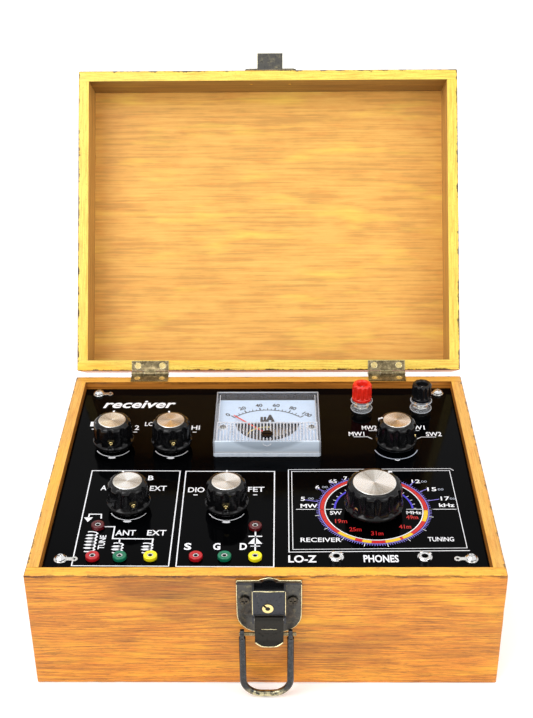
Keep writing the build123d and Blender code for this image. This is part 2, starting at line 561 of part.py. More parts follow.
# ---------------------------------------------------------------------------
# binding posts: stud with a 4 mm socket, clear collar, screw-down cap
# ---------------------------------------------------------------------------
COLLAR_R, COLLAR_H = 6.7, 7.0
CAP_R, CAP_Z0, CAP_Z1 = 6.1, PANEL_TOP + COLLAR_H + 0.35, PANEL_TOP + 18.6
STUD_TOP = PANEL_TOP + 15.0
with BuildPart() as binding_post_studs:
    for x, y in POST_POS.values():
        with Locations((x, y, 46.0)):
            Cylinder(3.0, STUD_TOP - 46.0, align=(Align.CENTER, Align.CENTER, Align.MIN))
        with BuildSketch(Plane.XY.offset(PANEL_BOT - 3.0)):
            with Locations((x, y)):
                RegularPolygon(5.2, 6)
        extrude(amount=3.0)
        with Locations((x, y, STUD_TOP)):
            Cylinder(POST_BORE_R, POST_BORE_L, align=(Align.CENTER, Align.CENTER, Align.MAX), mode=Mode.SUBTRACT)
save(binding_post_studs.part, "binding_post_studs")

with BuildPart() as binding_post_collars:
    for x, y in POST_POS.values():
        with Locations((x, y, PANEL_TOP)):
            Cylinder(COLLAR_R, COLLAR_H, align=(Align.CENTER, Align.CENTER, Align.MIN))
    fillet(binding_post_collars.faces().sort_by(Axis.Z)[-2:].edges(), 0.6)
    with Locations([(x, y, PANEL_TOP) for x, y in POST_POS.values()]):
        Cylinder(3.04, 30, mode=Mode.SUBTRACT)
save(binding_post_collars.part, "binding_post_collars")

INSERT_R = 4.4
for colour, (x, y) in POST_POS.items():
    with BuildPart() as post_insert:
        with Locations((x, y, CAP_Z0)):
            Cylinder(INSERT_R, 6.4, align=(Align.CENTER, Align.CENTER, Align.MIN))
            Cylinder(3.06, 20, mode=Mode.SUBTRACT)
    save(post_insert.part, colour + "_post_insert")

    with BuildPart() as post_cap:
        with Locations((x, y, CAP_Z0)):
            Cylinder(CAP_R, CAP_Z1 - CAP_Z0, align=(Align.CENTER, Align.CENTER, Align.MIN))
        fillet(post_cap.faces().sort_by(Axis.Z)[-1].edges(), 0.8)
        with Locations((x, y, (CAP_Z0 + CAP_Z1) / 2)):
            with PolarLocations(CAP_R + 0.35, 16):
                Cylinder(0.75, 20, mode=Mode.SUBTRACT)
        with Locations((x, y, CAP_Z0)):
            Cylinder(INSERT_R + 0.04, 6.45, align=(Align.CENTER, Align.CENTER, Align.MIN), mode=Mode.SUBTRACT)
        with Locations((x, y, CAP_Z0)):
            Cylinder(3.1, 30, mode=Mode.SUBTRACT)
    save(post_cap.part, colour + "_post_cap")

# ---------------------------------------------------------------------------
# pin sockets and phone jacks
# ---------------------------------------------------------------------------


def socket_solids(places):
    """Moulded bushes: collar above the panel, shank through it."""
    with BuildPart() as bush:
        with Locations([(x, y, PANEL_TOP) for x, y in places]):
            Cylinder(SOCKET_R, SOCKET_RISE, align=(Align.CENTER, Align.CENTER, Align.MIN))
        fillet(bush.edges().filter_by(GeomType.CIRCLE).group_by(Axis.Z)[-1], 0.6)
        with Locations([(x, y, PANEL_TOP) for x, y in places]):
            Cylinder(2.5, 7.0, align=(Align.CENTER, Align.CENTER, Align.MAX))
        with Locations([(x, y, PANEL_TOP) for x, y in places]):
            Cylinder(1.7, 40, mode=Mode.SUBTRACT)
    return bush.part


save(socket_solids(RED_SOCKETS), "red_socket_bushes")
save(socket_solids(GREEN_SOCKETS), "green_socket_bushes")
save(socket_solids(YELLOW_SOCKETS), "yellow_socket_bushes")

with BuildPart() as socket_sleeves:
    for x, y in RED_SOCKETS + GREEN_SOCKETS + YELLOW_SOCKETS:
        with Locations((x, y, PANEL_TOP + SOCKET_RISE - 0.4)):
            Cylinder(1.66, SOCKET_BORE_L + 2.0, align=(Align.CENTER, Align.CENTER, Align.MAX))
            Cylinder(SOCKET_BORE_R, SOCKET_BORE_L, align=(Align.CENTER, Align.CENTER, Align.MAX), mode=Mode.SUBTRACT)
save(socket_sleeves.part, "socket_sleeves")

with BuildPart() as phone_jacks:
    for x, y in JACK_POS:
        # moulded jack body and threaded neck under the panel
        with Locations((x, y, PANEL_BOT - 7.5)):
            Box(9.0, 12.0, 15.0)
        with Locations((x, y, PANEL_BOT)):
            Cylinder(3.0, 4.2, align=(Align.CENTER, Align.CENTER, Align.MIN))
        # ring nut
    with BuildPart(mode=Mode.PRIVATE) as ring_nuts:
        with Locations([(x, y, PANEL_TOP) for x, y in JACK_POS]):
            Cylinder(3.95, 1.9, align=(Align.CENTER, Align.CENTER, Align.MIN))
            Cylinder(3.03, 10, mode=Mode.SUBTRACT)
    with Locations([(x, y, PANEL_BOT + 4.2) for x, y in JACK_POS]):
        Cylinder(JACK_BORE_R, JACK_BORE_L, align=(Align.CENTER, Align.CENTER, Align.MAX), mode=Mode.SUBTRACT)
save(Compound(children=[*phone_jacks.part.solids(), *ring_nuts.part.solids()]), "phone_jacks")

# ---------------------------------------------------------------------------
# rotary switches with their knobs
# ---------------------------------------------------------------------------
with BuildPart() as switch_bodies:
    for x, y in KNOB_POS.values():
        with Locations((x, y, PANEL_BOT)):
            Cylinder(12.5, 11.0, align=(Align.CENTER, Align.CENTER, Align.MAX))
            Cylinder(4.5, PANEL_T + 3.2, align=(Align.CENTER, Align.CENTER, Align.MIN))
        with BuildSketch(Plane.XY.offset(PANEL_TOP)):
            with Locations((x, y)):
                RegularPolygon(6.4, 6)
        extrude(amount=2.0)
        # solder tags around the wafer
        with Locations((x, y, PANEL_BOT - 13.0)):
            with PolarLocations(9.5, 8):
                Box(0.6, 1.8, 6.0)
        with Locations((x, y, PANEL_BOT)):
            Cylinder(SPINDLE_R + 0.05, 40, mode=Mode.SUBTRACT)
save(switch_bodies.part, "switch_bodies")

KNOB_Z0 = PANEL_TOP + 3.4


def knob_body(x, y, angle, r_top, r_skirt, height, flutes):
    """Fluted knob with a stepped skirt, spindle bore and pointer notch."""
    top = PANEL_TOP + height
    with BuildPart(Plane(origin=(x, y, 0), x_dir=(math.cos(math.radians(angle)), math.sin(math.radians(angle)), 0),
                         z_dir=(0, 0, 1))) as body:
        with Locations((0, 0, KNOB_Z0)):
            Cylinder(r_skirt, 2.2, align=(Align.CENTER, Align.CENTER, Align.MIN))
            Cone(r_top + 0.9, r_top, top - KNOB_Z0, align=(Align.CENTER, Align.CENTER, Align.MIN))
        fillet(body.faces().sort_by(Axis.Z)[-1].edges(), 0.9)
        with Locations((0, 0, KNOB_Z0 + 2.2)):
            with PolarLocations(r_top + 2.3, flutes, start_angle=180.0 / flutes):
                Cylinder(2.3, height, align=(Align.CENTER, Align.CENTER, Align.MIN), mode=Mode.SUBTRACT)
        # pointer groove, top recess for the disc, underside recess, bore
        with Locations((r_top - 1.0, 0, top)):
            Box(3.4, 0.9, 0.8, mode=Mode.SUBTRACT)
        with Locations((0, 0, top)):
            Cylinder(r_top - 2.4, 0.8, align=(Align.CENTER, Align.CENTER, Align.MAX), mode=Mode.SUBTRACT)
        with Locations((0, 0, KNOB_Z0)):
            Cylinder(8.2, 2.0, align=(Align.CENTER, Align.CENTER, Align.MIN), mode=Mode.SUBTRACT)
        with Locations((0, 0, KNOB_Z0)):
            Cylinder(SPINDLE_R + 0.02, height - 6.6, align=(Align.CENTER, Align.CENTER, Align.MIN), mode=Mode.SUBTRACT)
        # grub screw hole, opposite the pointer
        with Locations((-r_skirt / 2 - 2, 0, PANEL_TOP + 9.5)):
            Cylinder(1.35, r_skirt, rotation=(0, 90, 0), mode=Mode.SUBTRACT)
    return body.part


def knob_metal(x, y, angle, r_top, height, shaft_bottom):
    """Turned disc, spindle and grub screw as separate solids."""
    top = PANEL_TOP + height
    with BuildPart() as disc:
        with Locations((x, y, top - 0.75)):
            Cylinder(r_top - 2.45, 0.95, align=(Align.CENTER, Align.CENTER, Align.MIN))
        fillet(disc.faces().sort_by(Axis.Z)[-1].edges(), 0.25)
    solids = [*disc.part.solids()]
    if shaft_bottom is not None:
        with BuildPart() as shaft:
            with Locations((x, y, shaft_bottom)):
                Cylinder(SPINDLE_R, KNOB_Z0 + height - 7.0 - shaft_bottom, align=(Align.CENTER, Align.CENTER, Align.MIN))
        solids += [*shaft.part.solids()]
    with BuildPart(Plane(origin=(x, y, PANEL_TOP + 9.5),
                         x_dir=(math.cos(math.radians(angle)), math.sin(math.radians(angle)), 0),
                         z_dir=(0, 0, 1))) as grub:
        with Locations((-(SPINDLE_R + 0.05), 0, 0)):
            Cylinder(1.3, r_top - SPINDLE_R + 0.2, rotation=(0, -90, 0), align=(Align.CENTER, Align.CENTER, Align.MIN))
        with Locations((-(r_top + 0.3), 0, 0)):
            Box(1.0, 0.5, 3.0, mode=Mode.SUBTRACT)
    solids += [*grub.part.solids()]
    return Compound(children=solids)


for name, (x, y) in KNOB_POS.items():
    ang = KNOB_POINT[name]
    save(knob_body(x, y, ang, KNOB_R_TOP, KNOB_R_SKIRT, KNOB_H, 9), name + "_knob")
    save(knob_metal(x, y, ang, KNOB_R_TOP, KNOB_H, PANEL_BOT - 9.0), name + "_knob_spindle")

save(knob_body(*TUNING_POS, TUNING_POINT, TUNING_R_TOP, TUNING_R_SKIRT, TUNING_H, 12), "tuning_knob")
save(knob_metal(*TUNING_POS, TUNING_POINT, TUNING_R_TOP, TUNING_H, None), "tuning_knob_cap")

# ---------------------------------------------------------------------------
# air-spaced tuning capacitor
# ---------------------------------------------------------------------------
TX, TY = TUNING_POS
CAP_BOT = 28.0          # frame floor
with BuildPart() as capacitor_frame:
    with Locations((TX, TY, PANEL_BOT - 1.0)):
        Box(46, 38, 2.0)
    with Locations((TX, TY, PANEL_BOT)):
        Cylinder(4.5, PANEL_T + 3.2, align=(Align.CENTER, Align.CENTER, Align.MIN))
    with BuildSketch(Plane.XY.offset(PANEL_TOP)):
        with Locations((TX, TY)):
            RegularPolygon(6.4, 6)
    extrude(amount=2.0)
    with Locations((TX, TY, CAP_BOT + 1.0)):
        Box(46, 38, 2.0)
    with Locations([(TX + sx * 21.0, TY + sy * 17.0, (PANEL_BOT + CAP_BOT) / 2) for sx in (-1, 1) for sy in (-1, 1)]):
        Cylinder(1.8, PANEL_BOT - CAP_BOT - 3.0)
    with Locations((TX, TY, PANEL_BOT)):
        Cylinder(SPINDLE_R + 0.05, 30, mode=Mode.SUBTRACT)
    with Locations((TX, TY, CAP_BOT)):
        Cylinder(SPINDLE_R + 0.05, 8, mode=Mode.SUBTRACT)
save(capacitor_frame.part, "capacitor_frame")

PLATE_N, PLATE_PITCH = 7, 4.0
with BuildPart() as capacitor_stator:
    for i in range(PLATE_N):
        z = CAP_BOT + 7.0 + i * PLATE_PITCH
        with BuildSketch(Plane.XY.offset(z)):
            with Locations((TX, TY)):
                Circle(15.0)
                Circle(5.0, mode=Mode.SUBTRACT)
            with Locations((TX, TY - 10.0)):
                Rectangle(40, 20, mode=Mode.SUBTRACT)
            with Locations((TX, TY + 15.2)):
                Rectangle(14, 3.0)
        extrude(amount=0.8)
    with Locations((TX - 4, TY + 15.4, CAP_BOT + 2.0), (TX + 4, TY + 15.4, CAP_BOT + 2.0)):
        Cylinder(1.0, PANEL_BOT - 2.0 - CAP_BOT - 2.0, align=(Align.CENTER, Align.CENTER, Align.MIN))
save(capacitor_stator.part, "capacitor_stator")

_ta = math.radians(TUNING_POINT)
with BuildPart() as tuning_rotor:
    with Locations((TX, TY, CAP_BOT - 1.5)):
        Cylinder(SPINDLE_R, KNOB_Z0 + TUNING_H - 7.0 - CAP_BOT + 1.5, align=(Align.CENTER, Align.CENTER, Align.MIN))
    for i in range(PLATE_N - 1):
        z = CAP_BOT + 7.0 + PLATE_PITCH / 2 + i * PLATE_PITCH
        with BuildSketch(Plane(origin=(TX, TY, z), x_dir=(math.cos(_ta), math.sin(_ta), 0), z_dir=(0, 0, 1))):
            Circle(13.4)
            with Locations((8.4, 0)):
                Rectangle(13.0, 40, mode=Mode.SUBTRACT)
        extrude(amount=0.8)
save(tuning_rotor.part, "tuning_rotor")

# ---------------------------------------------------------------------------
# antenna coil on its ferrite rod, detector board
# ---------------------------------------------------------------------------
ROD_Y, ROD_Z = 4.0, 20.0
with BuildPart() as ferrite_rod:
    with Locations((-20, ROD_Y, ROD_Z)):
        Cylinder(5.0, 140, rotation=(0, 90, 0))
    with Locations((-20 - 62, ROD_Y, ROD_Z), (-20 + 62, ROD_Y, ROD_Z)):
        Box(7, 13, 13)
    with Locations((-20 - 62, ROD_Y, (BOTTOM_T + ROD_Z) / 2), (-20 + 62, ROD_Y, (BOTTOM_T + ROD_Z) / 2)):
        Box(7, 18, ROD_Z - BOTTOM_T)
save(ferrite_rod.part, "ferrite_rod")

with BuildPart() as antenna_coils:
    for x0, ln in ((-52.0, 46.0), (8.0, 30.0)):
        with Locations((x0, ROD_Y, ROD_Z)):
            Cylinder(6.6, ln, rotation=(0, 90, 0))
        with Locations((x0 - ln / 2 + 1.5, ROD_Y, ROD_Z), (x0 + ln / 2 - 1.5, ROD_Y, ROD_Z)):
            Cylinder(7.6, 3.0, rotation=(0, 90, 0))
    with Locations((-20, ROD_Y, ROD_Z)):
        Cylinder(5.1, 200, rotation=(0, 90, 0), mode=Mode.SUBTRACT)
save(antenna_coils.part, "antenna_coils")

BX, BY, BZ = -50.0, -62.0, 14.0
with BuildPart() as detector_board:
    with Locations((BX, BY, BZ)):
        Box(60, 30, 1.6)
    # standoffs
    with Locations([(BX + sx * 26, BY + sy * 11, BZ) for sx in (-1, 1) for sy in (-1, 1)]):
        Cylinder(2.5, BZ - BOTTOM_T, align=(Align.CENTER, Align.CENTER, Align.MAX))
    # germanium diode, transistor, resistor and output transformer
    with Locations((BX - 16, BY + 8, BZ + 2.2)):
        Cylinder(1.5, 9, rotation=(0, 90, 0))
    with Locations((BX - 16, BY - 6, BZ + 2.2)):
        Cylinder(1.5, 9, rotation=(0, 90, 0))
    with Locations((BX - 1, BY, BZ + 0.6)):
        Cylinder(2.5, 5.5, align=(Align.CENTER, Align.CENTER, Align.MIN))
    with Locations((BX + 14, BY, BZ + 0.6)):
        Box(16, 14, 14, align=(Align.CENTER, Align.CENTER, Align.MIN))
save(detector_board.part, "detector_board")
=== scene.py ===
import bpy
import bmesh
import json
import math
import random
from mathutils import Vector, Matrix, noise

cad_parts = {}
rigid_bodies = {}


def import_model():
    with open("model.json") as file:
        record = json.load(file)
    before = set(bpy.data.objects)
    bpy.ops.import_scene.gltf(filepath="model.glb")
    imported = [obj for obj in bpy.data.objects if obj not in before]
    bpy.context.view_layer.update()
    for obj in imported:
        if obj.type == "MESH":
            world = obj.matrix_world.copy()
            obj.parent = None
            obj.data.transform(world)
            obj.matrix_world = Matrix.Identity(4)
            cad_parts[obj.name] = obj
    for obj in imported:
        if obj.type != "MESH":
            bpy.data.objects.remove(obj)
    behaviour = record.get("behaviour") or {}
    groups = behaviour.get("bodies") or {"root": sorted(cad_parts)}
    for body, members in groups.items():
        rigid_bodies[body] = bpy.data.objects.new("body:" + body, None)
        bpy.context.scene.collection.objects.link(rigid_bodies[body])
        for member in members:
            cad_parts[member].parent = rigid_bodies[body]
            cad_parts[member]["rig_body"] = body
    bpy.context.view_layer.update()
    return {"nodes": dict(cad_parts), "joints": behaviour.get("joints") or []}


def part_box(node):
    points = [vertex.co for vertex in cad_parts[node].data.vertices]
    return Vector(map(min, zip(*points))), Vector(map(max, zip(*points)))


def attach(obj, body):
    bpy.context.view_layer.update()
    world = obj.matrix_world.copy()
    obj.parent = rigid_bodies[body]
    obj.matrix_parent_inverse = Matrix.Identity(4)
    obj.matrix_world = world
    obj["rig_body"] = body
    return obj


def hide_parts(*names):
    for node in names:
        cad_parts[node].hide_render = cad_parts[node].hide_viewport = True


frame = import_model()
MM = 0.001
NODES = frame["nodes"]
JOINTS = {j["name"]: j for j in frame["joints"]}


# ---------------------------------------------------------------- geometry of the frame, in millimetres
def box_mm(node):
    lo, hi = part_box(node)
    return [v * 1000 for v in lo], [v * 1000 for v in hi]


PLO, PHI = box_mm("control_panel")
PT = PHI[2]                                   # top of the control panel
CLO, CHI = box_mm("case_front_board")
SLO, SHI = box_mm("case_side_boards")
HX, HY, CH = CHI[0], -CLO[1], CHI[2]          # half width, half depth, rim height
BOARD = CHI[1] - CLO[1]
HINGE = [v * 1000 for v in JOINTS["lid_hinge"]["pos_m"]]
OPEN = -JOINTS["lid_hinge"]["range_deg"][0]
GAP = 2 * (HINGE[2] - CH)
LID_M = (Matrix.Translation(Vector(HINGE) * MM) @ Matrix.Rotation(-math.radians(OPEN), 4, "X")
         @ Matrix.Translation(-Vector(HINGE) * MM))


# ---------------------------------------------------------------- node material helper
class Mat:
    def __init__(self, name):
        self.mat = bpy.data.materials.new(name)
        self.mat.use_nodes = True
        self.t = self.mat.node_tree
        self.t.nodes.clear()
        self.out = self.t.nodes.new("ShaderNodeOutputMaterial")
        self.b = self.t.nodes.new("ShaderNodeBsdfPrincipled")
        self.t.links.new(self.b.outputs[0], self.out.inputs[0])
        self.tc = self.t.nodes.new("ShaderNodeTexCoord")
        self._mm = None

    def put(self, node, key, val):
        s = node.inputs[key]
        if hasattr(val, "is_output"):
            self.t.links.new(val, s)
        elif val is not None:
            s.default_value = val

    def new(self, kind, outs=0, attrs=None, **ins):
        n = self.t.nodes.new("ShaderNode" + kind)
        for k, v in (attrs or {}).items():
            setattr(n, k, v)
        for k, v in ins.items():
            self.put(n, k.replace("_", " ") if not k.startswith("i") or not k[1:].isdigit() else int(k[1:]), v)
        return n.outputs[outs]

    @property
    def mm(self):
        if self._mm is None:
            self._mm = self.new("VectorMath", attrs={"operation": "SCALE"}, i0=self.tc.outputs["Object"], Scale=1000.0)
        return self._mm

    def vec(self, scale=(1, 1, 1), shift=(0, 0, 0), src=None):
        v = self.new("VectorMath", attrs={"operation": "MULTIPLY"}, i0=src or self.mm, i1=scale)
        return self.new("VectorMath", attrs={"operation": "ADD"}, i0=v, i1=shift)

    def noise(self, scale=(1, 1, 1), shift=(0, 0, 0), detail=3.0, rough=0.5, dist=0.0, src=None, out=0):
        return self.new("TexNoise", outs=out, Vector=self.vec(scale, shift, src), Scale=1.0, Detail=detail,
                        Roughness=rough, Distortion=dist)

    def math(self, op, a, b=0.0, c=None, clamp=False):
        ins = {"i0": a, "i1": b}
        if c is not None:
            ins["i2"] = c
        return self.new("Math", attrs={"operation": op, "use_clamp": clamp}, **ins)

    def ramp(self, fac, stops, interp="LINEAR"):
        n = self.t.nodes.new("ShaderNodeValToRGB")
        n.color_ramp.interpolation = interp
        e = n.color_ramp.elements
        while len(e) > 1:
            e.remove(e[-1])
        e[0].position = stops[0][0]
        e[0].color = col(stops[0][1])
        for p, c in stops[1:]:
            k = e.new(p)
            k.color = col(c)
        self.t.links.new(fac, n.inputs[0])
        return n.outputs[0]

    def remap(self, v, a, b, c=0.0, d=1.0):
        return self.new("MapRange", attrs={"clamp": True}, Value=v, From_Min=a, From_Max=b, To_Min=c, To_Max=d)

    def mix(self, fac, a, b, blend="MIX"):
        n = self.t.nodes.new("ShaderNodeMix")
        n.data_type = "RGBA"
        n.blend_type = blend
        n.clamp_factor = True
        self.put(n, 0, fac)
        for i, v in ((6, a), (7, b)):
            if hasattr(v, "is_output"):
                self.t.links.new(v, n.inputs[i])
            else:
                n.inputs[i].default_value = col(v)
        return n.outputs[2]

    def sep(self, v=None):
        n = self.t.nodes.new("ShaderNodeSeparateXYZ")
        self.t.links.new(v or self.mm, n.inputs[0])
        return n.outputs[0], n.outputs[1], n.outputs[2]

    def comb(self, x, y, z):
        return self.new("CombineXYZ", i0=x, i1=y, i2=z)

    def bump(self, height, strength=0.3, dist=0.05, normal=None):
        ins = dict(Height=height, Strength=strength, Distance=dist * MM)
        n = self.t.nodes.new("ShaderNodeBump")
        for k, v in ins.items():
            self.put(n, k, v)
        if normal is not None:
            self.t.links.new(normal, n.inputs["Normal"])
        return n.outputs[0]

    def set(self, **kw):
        for k, v in kw.items():
            key = {"color": "Base Color", "rough": "Roughness", "metal": "Metallic", "normal": "Normal",
                   "coat": "Coat Weight", "coat_rough": "Coat Roughness", "spec": "Specular IOR Level",
                   "ior": "IOR", "alpha": "Alpha", "trans": "Transmission Weight", "aniso": "Anisotropic",
                   "tangent": "Tangent", "sheen": "Sheen Weight", "sss": "Subsurface Weight",
                   "sssr": "Subsurface Radius", "ssss": "Subsurface Scale"}[k]
            if k == "color" and not hasattr(v, "is_output"):
                v = col(v)
            self.put(self.b, key, v)
        return self


def col(c):
    if not isinstance(c, (tuple, list)):
        return (c, c, c, 1.0)
    return tuple(c[:3]) + (1.0,)


def srgb(r, g, b):
    f = lambda v: (v / 255 / 12.92) if v / 255 <= 0.04045 else ((v / 255 + 0.055) / 1.055) ** 2.4
    return (f(r), f(g), f(b))


# ---------------------------------------------------------------- materials
def wood(name, axis, light, mid, dark, ring=2.5, seed=0.0, line=0.6, blotch=0.35, fine=0.5, rim_z=None, rim_col=None,
         scorch=0.0, rough=0.42, faces=None, inner=None, burn=0.0, pores=0.35):
    """Stained softwood.  axis is the grain direction; the other two are across it."""
    m = Mat(name)
    x, y, z = m.sep()
    a, c, d = {"X": (x, z, y), "Y": (y, z, x), "XY": (x, y, z)}[axis]
    p = m.comb(a, c, d)
    s = seed * 37.7
    warp1 = m.math("SUBTRACT", m.noise((0.006, 0.035, 0.035), (s, s, 0), 2.0, src=p), 0.5)
    warp2 = m.math("SUBTRACT", m.noise((0.03, 0.16, 0.16), (0, s, s), 3.0, src=p), 0.5)
    lines = m.math("MULTIPLY_ADD", warp1, 26.0, c)
    lines = m.math("MULTIPLY_ADD", warp2, 3.0, lines)
    lines = m.math("MULTIPLY_ADD", d, 0.31, lines)
    ph = m.math("MULTIPLY", lines, 2 * math.pi / ring)
    wave = m.math("MULTIPLY_ADD", m.math("SINE", ph), 0.5, 0.5)
    late = m.math("POWER", wave, 2.2)
    ph2 = m.math("MULTIPLY", lines, 2 * math.pi / (ring * 0.37))
    wave2 = m.math("MULTIPLY_ADD", m.math("SINE", ph2), 0.5, 0.5)
    fade = m.remap(m.noise((0.012, 0.10, 0.10), (s, 3, s), 2.0, src=p), 0.32, 0.62)
    late = m.math("MULTIPLY", late, fade)
    fibre = m.noise((0.045, 2.4, 2.4), (s, 0, 5), 3.0, 0.6, src=p)
    fibre2 = m.noise((0.13, 5.5, 5.5), (3, s, 1), 2.0, 0.6, src=p)
    streak = m.noise((0.02, 0.55, 0.55), (7, s, 2), 3.0, 0.6, src=p)
    spot = m.noise((0.03, 0.06, 0.06), (s, 11, 4), 4.0, 0.6, src=p)
    base = m.ramp(m.math("MULTIPLY_ADD", m.math("SUBTRACT", streak, 0.5), 1.3, spot),
                  [(0.30, light), (0.52, mid), (0.72, tuple(v * 0.8 for v in mid))])
    base = m.mix(m.math("MULTIPLY", late, line), base, dark)
    base = m.mix(m.math("MULTIPLY", m.math("MULTIPLY", wave2, fade), line * 0.28), base, dark)
    base = m.mix(m.math("MULTIPLY", m.remap(fibre, 0.50, 0.72), fine), base, dark)
    base = m.mix(m.math("MULTIPLY", m.remap(fibre2, 0.30, 0.48, 1.0, 0.0), fine * 0.55), base, light)
    big = m.remap(m.noise((0.010, 0.022, 0.022), (s, 2, 9), 3.0, 0.55, src=p), 0.52, 0.74)
    base = m.mix(m.math("MULTIPLY", big, blotch), base, dark)
    if faces:
        # the rim faces, picked by their normal, get tighter grain lines and a lighter tint; the lighter tint is painted
        # light on these rims
        nx, ny, nz = m.sep(m.tc.outputs["Normal"])
        for comp, colour, amount in faces:
            n = {"x": nx, "y": ny, "z": nz}[comp[1]]
            sel = m.remap(m.math("MULTIPLY", n, 1.0 if comp[0] == "+" else -1.0), 0.75, 0.93)
            vl = m.noise((0.05, 0.05, 1.5), (s, 1, 1), 3.0, 0.6, src=m.comb(a, 0.0, m.math("ADD", c, d)))
            spk = m.noise((0.9, 0.9, 0.9), (s, 4, 4), 3.0, 0.7)
            tint = m.mix(m.remap(vl, 0.42, 0.70), colour, tuple(v * q for v, q in zip(colour, (0.72, 0.58, 0.42))))
            tint = m.mix(m.math("MULTIPLY", m.remap(spk, 0.56, 0.70), 0.45), tint, tuple(v * q for v, q in zip(colour, (0.62, 0.42, 0.26))))
            base = m.mix(m.math("MULTIPLY", sel, amount), base, tint)
    # short dark pores and a finer, uneven reddish cast
    pore = m.noise((0.22, 7.0, 7.0), (s, 13, 8), 2.0, 0.5, src=p)
    base = m.mix(m.math("MULTIPLY", m.remap(pore, 0.60, 0.70), pores), base, tuple(v * 0.55 for v in dark))
    glow = m.noise((0.016, 0.085, 0.085), (s, 21, 6), 3.0, 0.6, src=p)
    base = m.mix(m.math("MULTIPLY", m.remap(glow, 0.54, 0.74), 0.55), base, tuple(min(1.0, v * k) for v, k in zip(light, (1.15, 1.42, 0.9))))
    cast = m.noise((0.05, 0.35, 0.35), (s, 17, 3), 3.0, 0.65, src=p)
    base = m.mix(m.math("MULTIPLY", m.remap(cast, 0.50, 0.72), 0.30), base, (mid[0] * 0.90, mid[1] * 0.62, mid[2] * 0.45))
    # painted shade: faces inside the box take the darker inner colour, standing in for the shade inside the case and
    # lid
    if inner:
        ax = m.math("SUBTRACT", m.math("ABSOLUTE", x), HX - BOARD)
        ay = m.math("SUBTRACT", m.math("ABSOLUTE", y), HY - BOARD)
        inner_shade_mask = m.remap(m.math("MAXIMUM", ax, ay), 0.25, 0.05)
        inner_shade_tint = m.mix(m.remap(streak, 0.40, 0.62), inner, tuple(v * 0.55 for v in inner))
        base = m.mix(m.math("MULTIPLY", inner_shade_mask, 0.82), base, inner_shade_tint)
    if burn > 0:
        ex = m.math("SUBTRACT", HX, m.math("ABSOLUTE", x))
        ey = m.math("SUBTRACT", HY, m.math("ABSOLUTE", y))
        e1 = m.math("MINIMUM", ex, ey)
        wd = m.math("MULTIPLY_ADD", m.remap(m.noise((0.16, 0.16, 0.16), (s, 9, 9), 4.0, 0.7), 0.42, 0.72), 2.3, 0.18)
        bm_ = m.remap(m.math("DIVIDE", e1, wd), 1.0, 0.45)
        nz_ = m.remap(m.math("ABSOLUTE", m.sep(m.tc.outputs["Normal"])[2]), 0.3, 0.8)
        base = m.mix(m.math("MULTIPLY", m.math("MULTIPLY", bm_, nz_), burn), base, tuple(v * 0.35 for v in dark))
    if scorch > 0:
        # scalloped dark marks that run along the sawn edge under the rim
        edge = m.math("SUBTRACT", rim_z, z)
        wig = m.math("MULTIPLY_ADD", m.noise((0.42, 0.4, 0.4), (s, 5, 5), 2.0, 0.6), 2.6, -0.55)
        mk = m.math("SUBTRACT", 1.0, m.math("ABSOLUTE", m.math("SUBTRACT", m.math("DIVIDE", edge, 0.9), wig)), clamp=True)
        mk = m.math("MULTIPLY", mk, m.remap(m.noise((0.09, 0.1, 0.1), (9, s, 5), 2.0), 0.36, 0.58))
        nz2 = m.math("ABSOLUTE", m.sep(m.tc.outputs["Normal"])[2])
        mk = m.math("MULTIPLY", mk, m.remap(nz2, 0.9, 0.5))
        base = m.mix(m.math("MULTIPLY", mk, scorch), base, tuple(v * 0.25 for v in dark))
    h = m.math("MULTIPLY_ADD", late, -0.5, m.math("MULTIPLY", fibre, 0.8))
    n1 = m.bump(h, 0.35, 0.10)
    n1 = m.bump(m.noise((0.35, 0.35, 0.35), (s, s, s), 3.0), 0.12, 0.25, n1)
    r = m.math("MULTIPLY_ADD", fibre, 0.18, rough - 0.09)
    m.set(color=base, rough=r, normal=n1, coat=0.12, coat_rough=0.25, spec=0.4)
    return m.mat


def plastic(name, color, rough=0.25, var=0.12, coat=0.0, grain=0.02, spec=0.5, sss=0.0):
    m = Mat(name)
    n = m.noise((0.35, 0.35, 0.35), (3, 1, 2), 3.0)
    c = m.mix(m.remap(n, 0.35, 0.7, 0.0, 1.0), tuple(v * (1 - var) for v in color), tuple(min(1, v * (1 + var) + 0.002) for v in color))
    fine = m.noise((3.5, 3.5, 3.5), (0, 0, 0), 2.0)
    smear = m.noise((0.12, 0.3, 0.2), (5, 5, 1), 3.0)
    r = m.math("MULTIPLY_ADD", smear, 0.16, rough - 0.06)
    m.set(color=c, rough=r, normal=m.bump(fine, 0.12, grain), coat=coat, coat_rough=0.06, spec=spec)
    if sss:
        m.set(sss=sss, sssr=(0.6, 0.3, 0.2), ssss=0.002)
    return m.mat


def metal(name, color, dark=None, rough=0.2, brushed=None, grain=0.01, tarnish=0.25):
    m = Mat(name)
    dark = dark or tuple(v * 0.45 for v in color)
    t = m.noise((0.22, 0.22, 0.22), (2, 7, 1), 4.0, 0.6)
    sc = (0.4, 6.0, 6.0) if brushed == "X" else (6.0, 6.0, 0.4) if brushed == "Z" else (2.5, 2.5, 2.5)
    f = m.noise(sc, (0, 3, 0), 3.0, 0.6)
    c = m.mix(m.math("MULTIPLY", m.remap(t, 0.45, 0.75), tarnish), color, dark)
    c = m.mix(m.math("MULTIPLY", m.remap(f, 0.5, 0.75), tarnish * 0.5), c, dark)
    r = m.math("MULTIPLY_ADD", f, 0.18, rough - 0.06)
    m.set(color=c, metal=1.0, rough=r, normal=m.bump(f, 0.18, grain))
    return m.mat


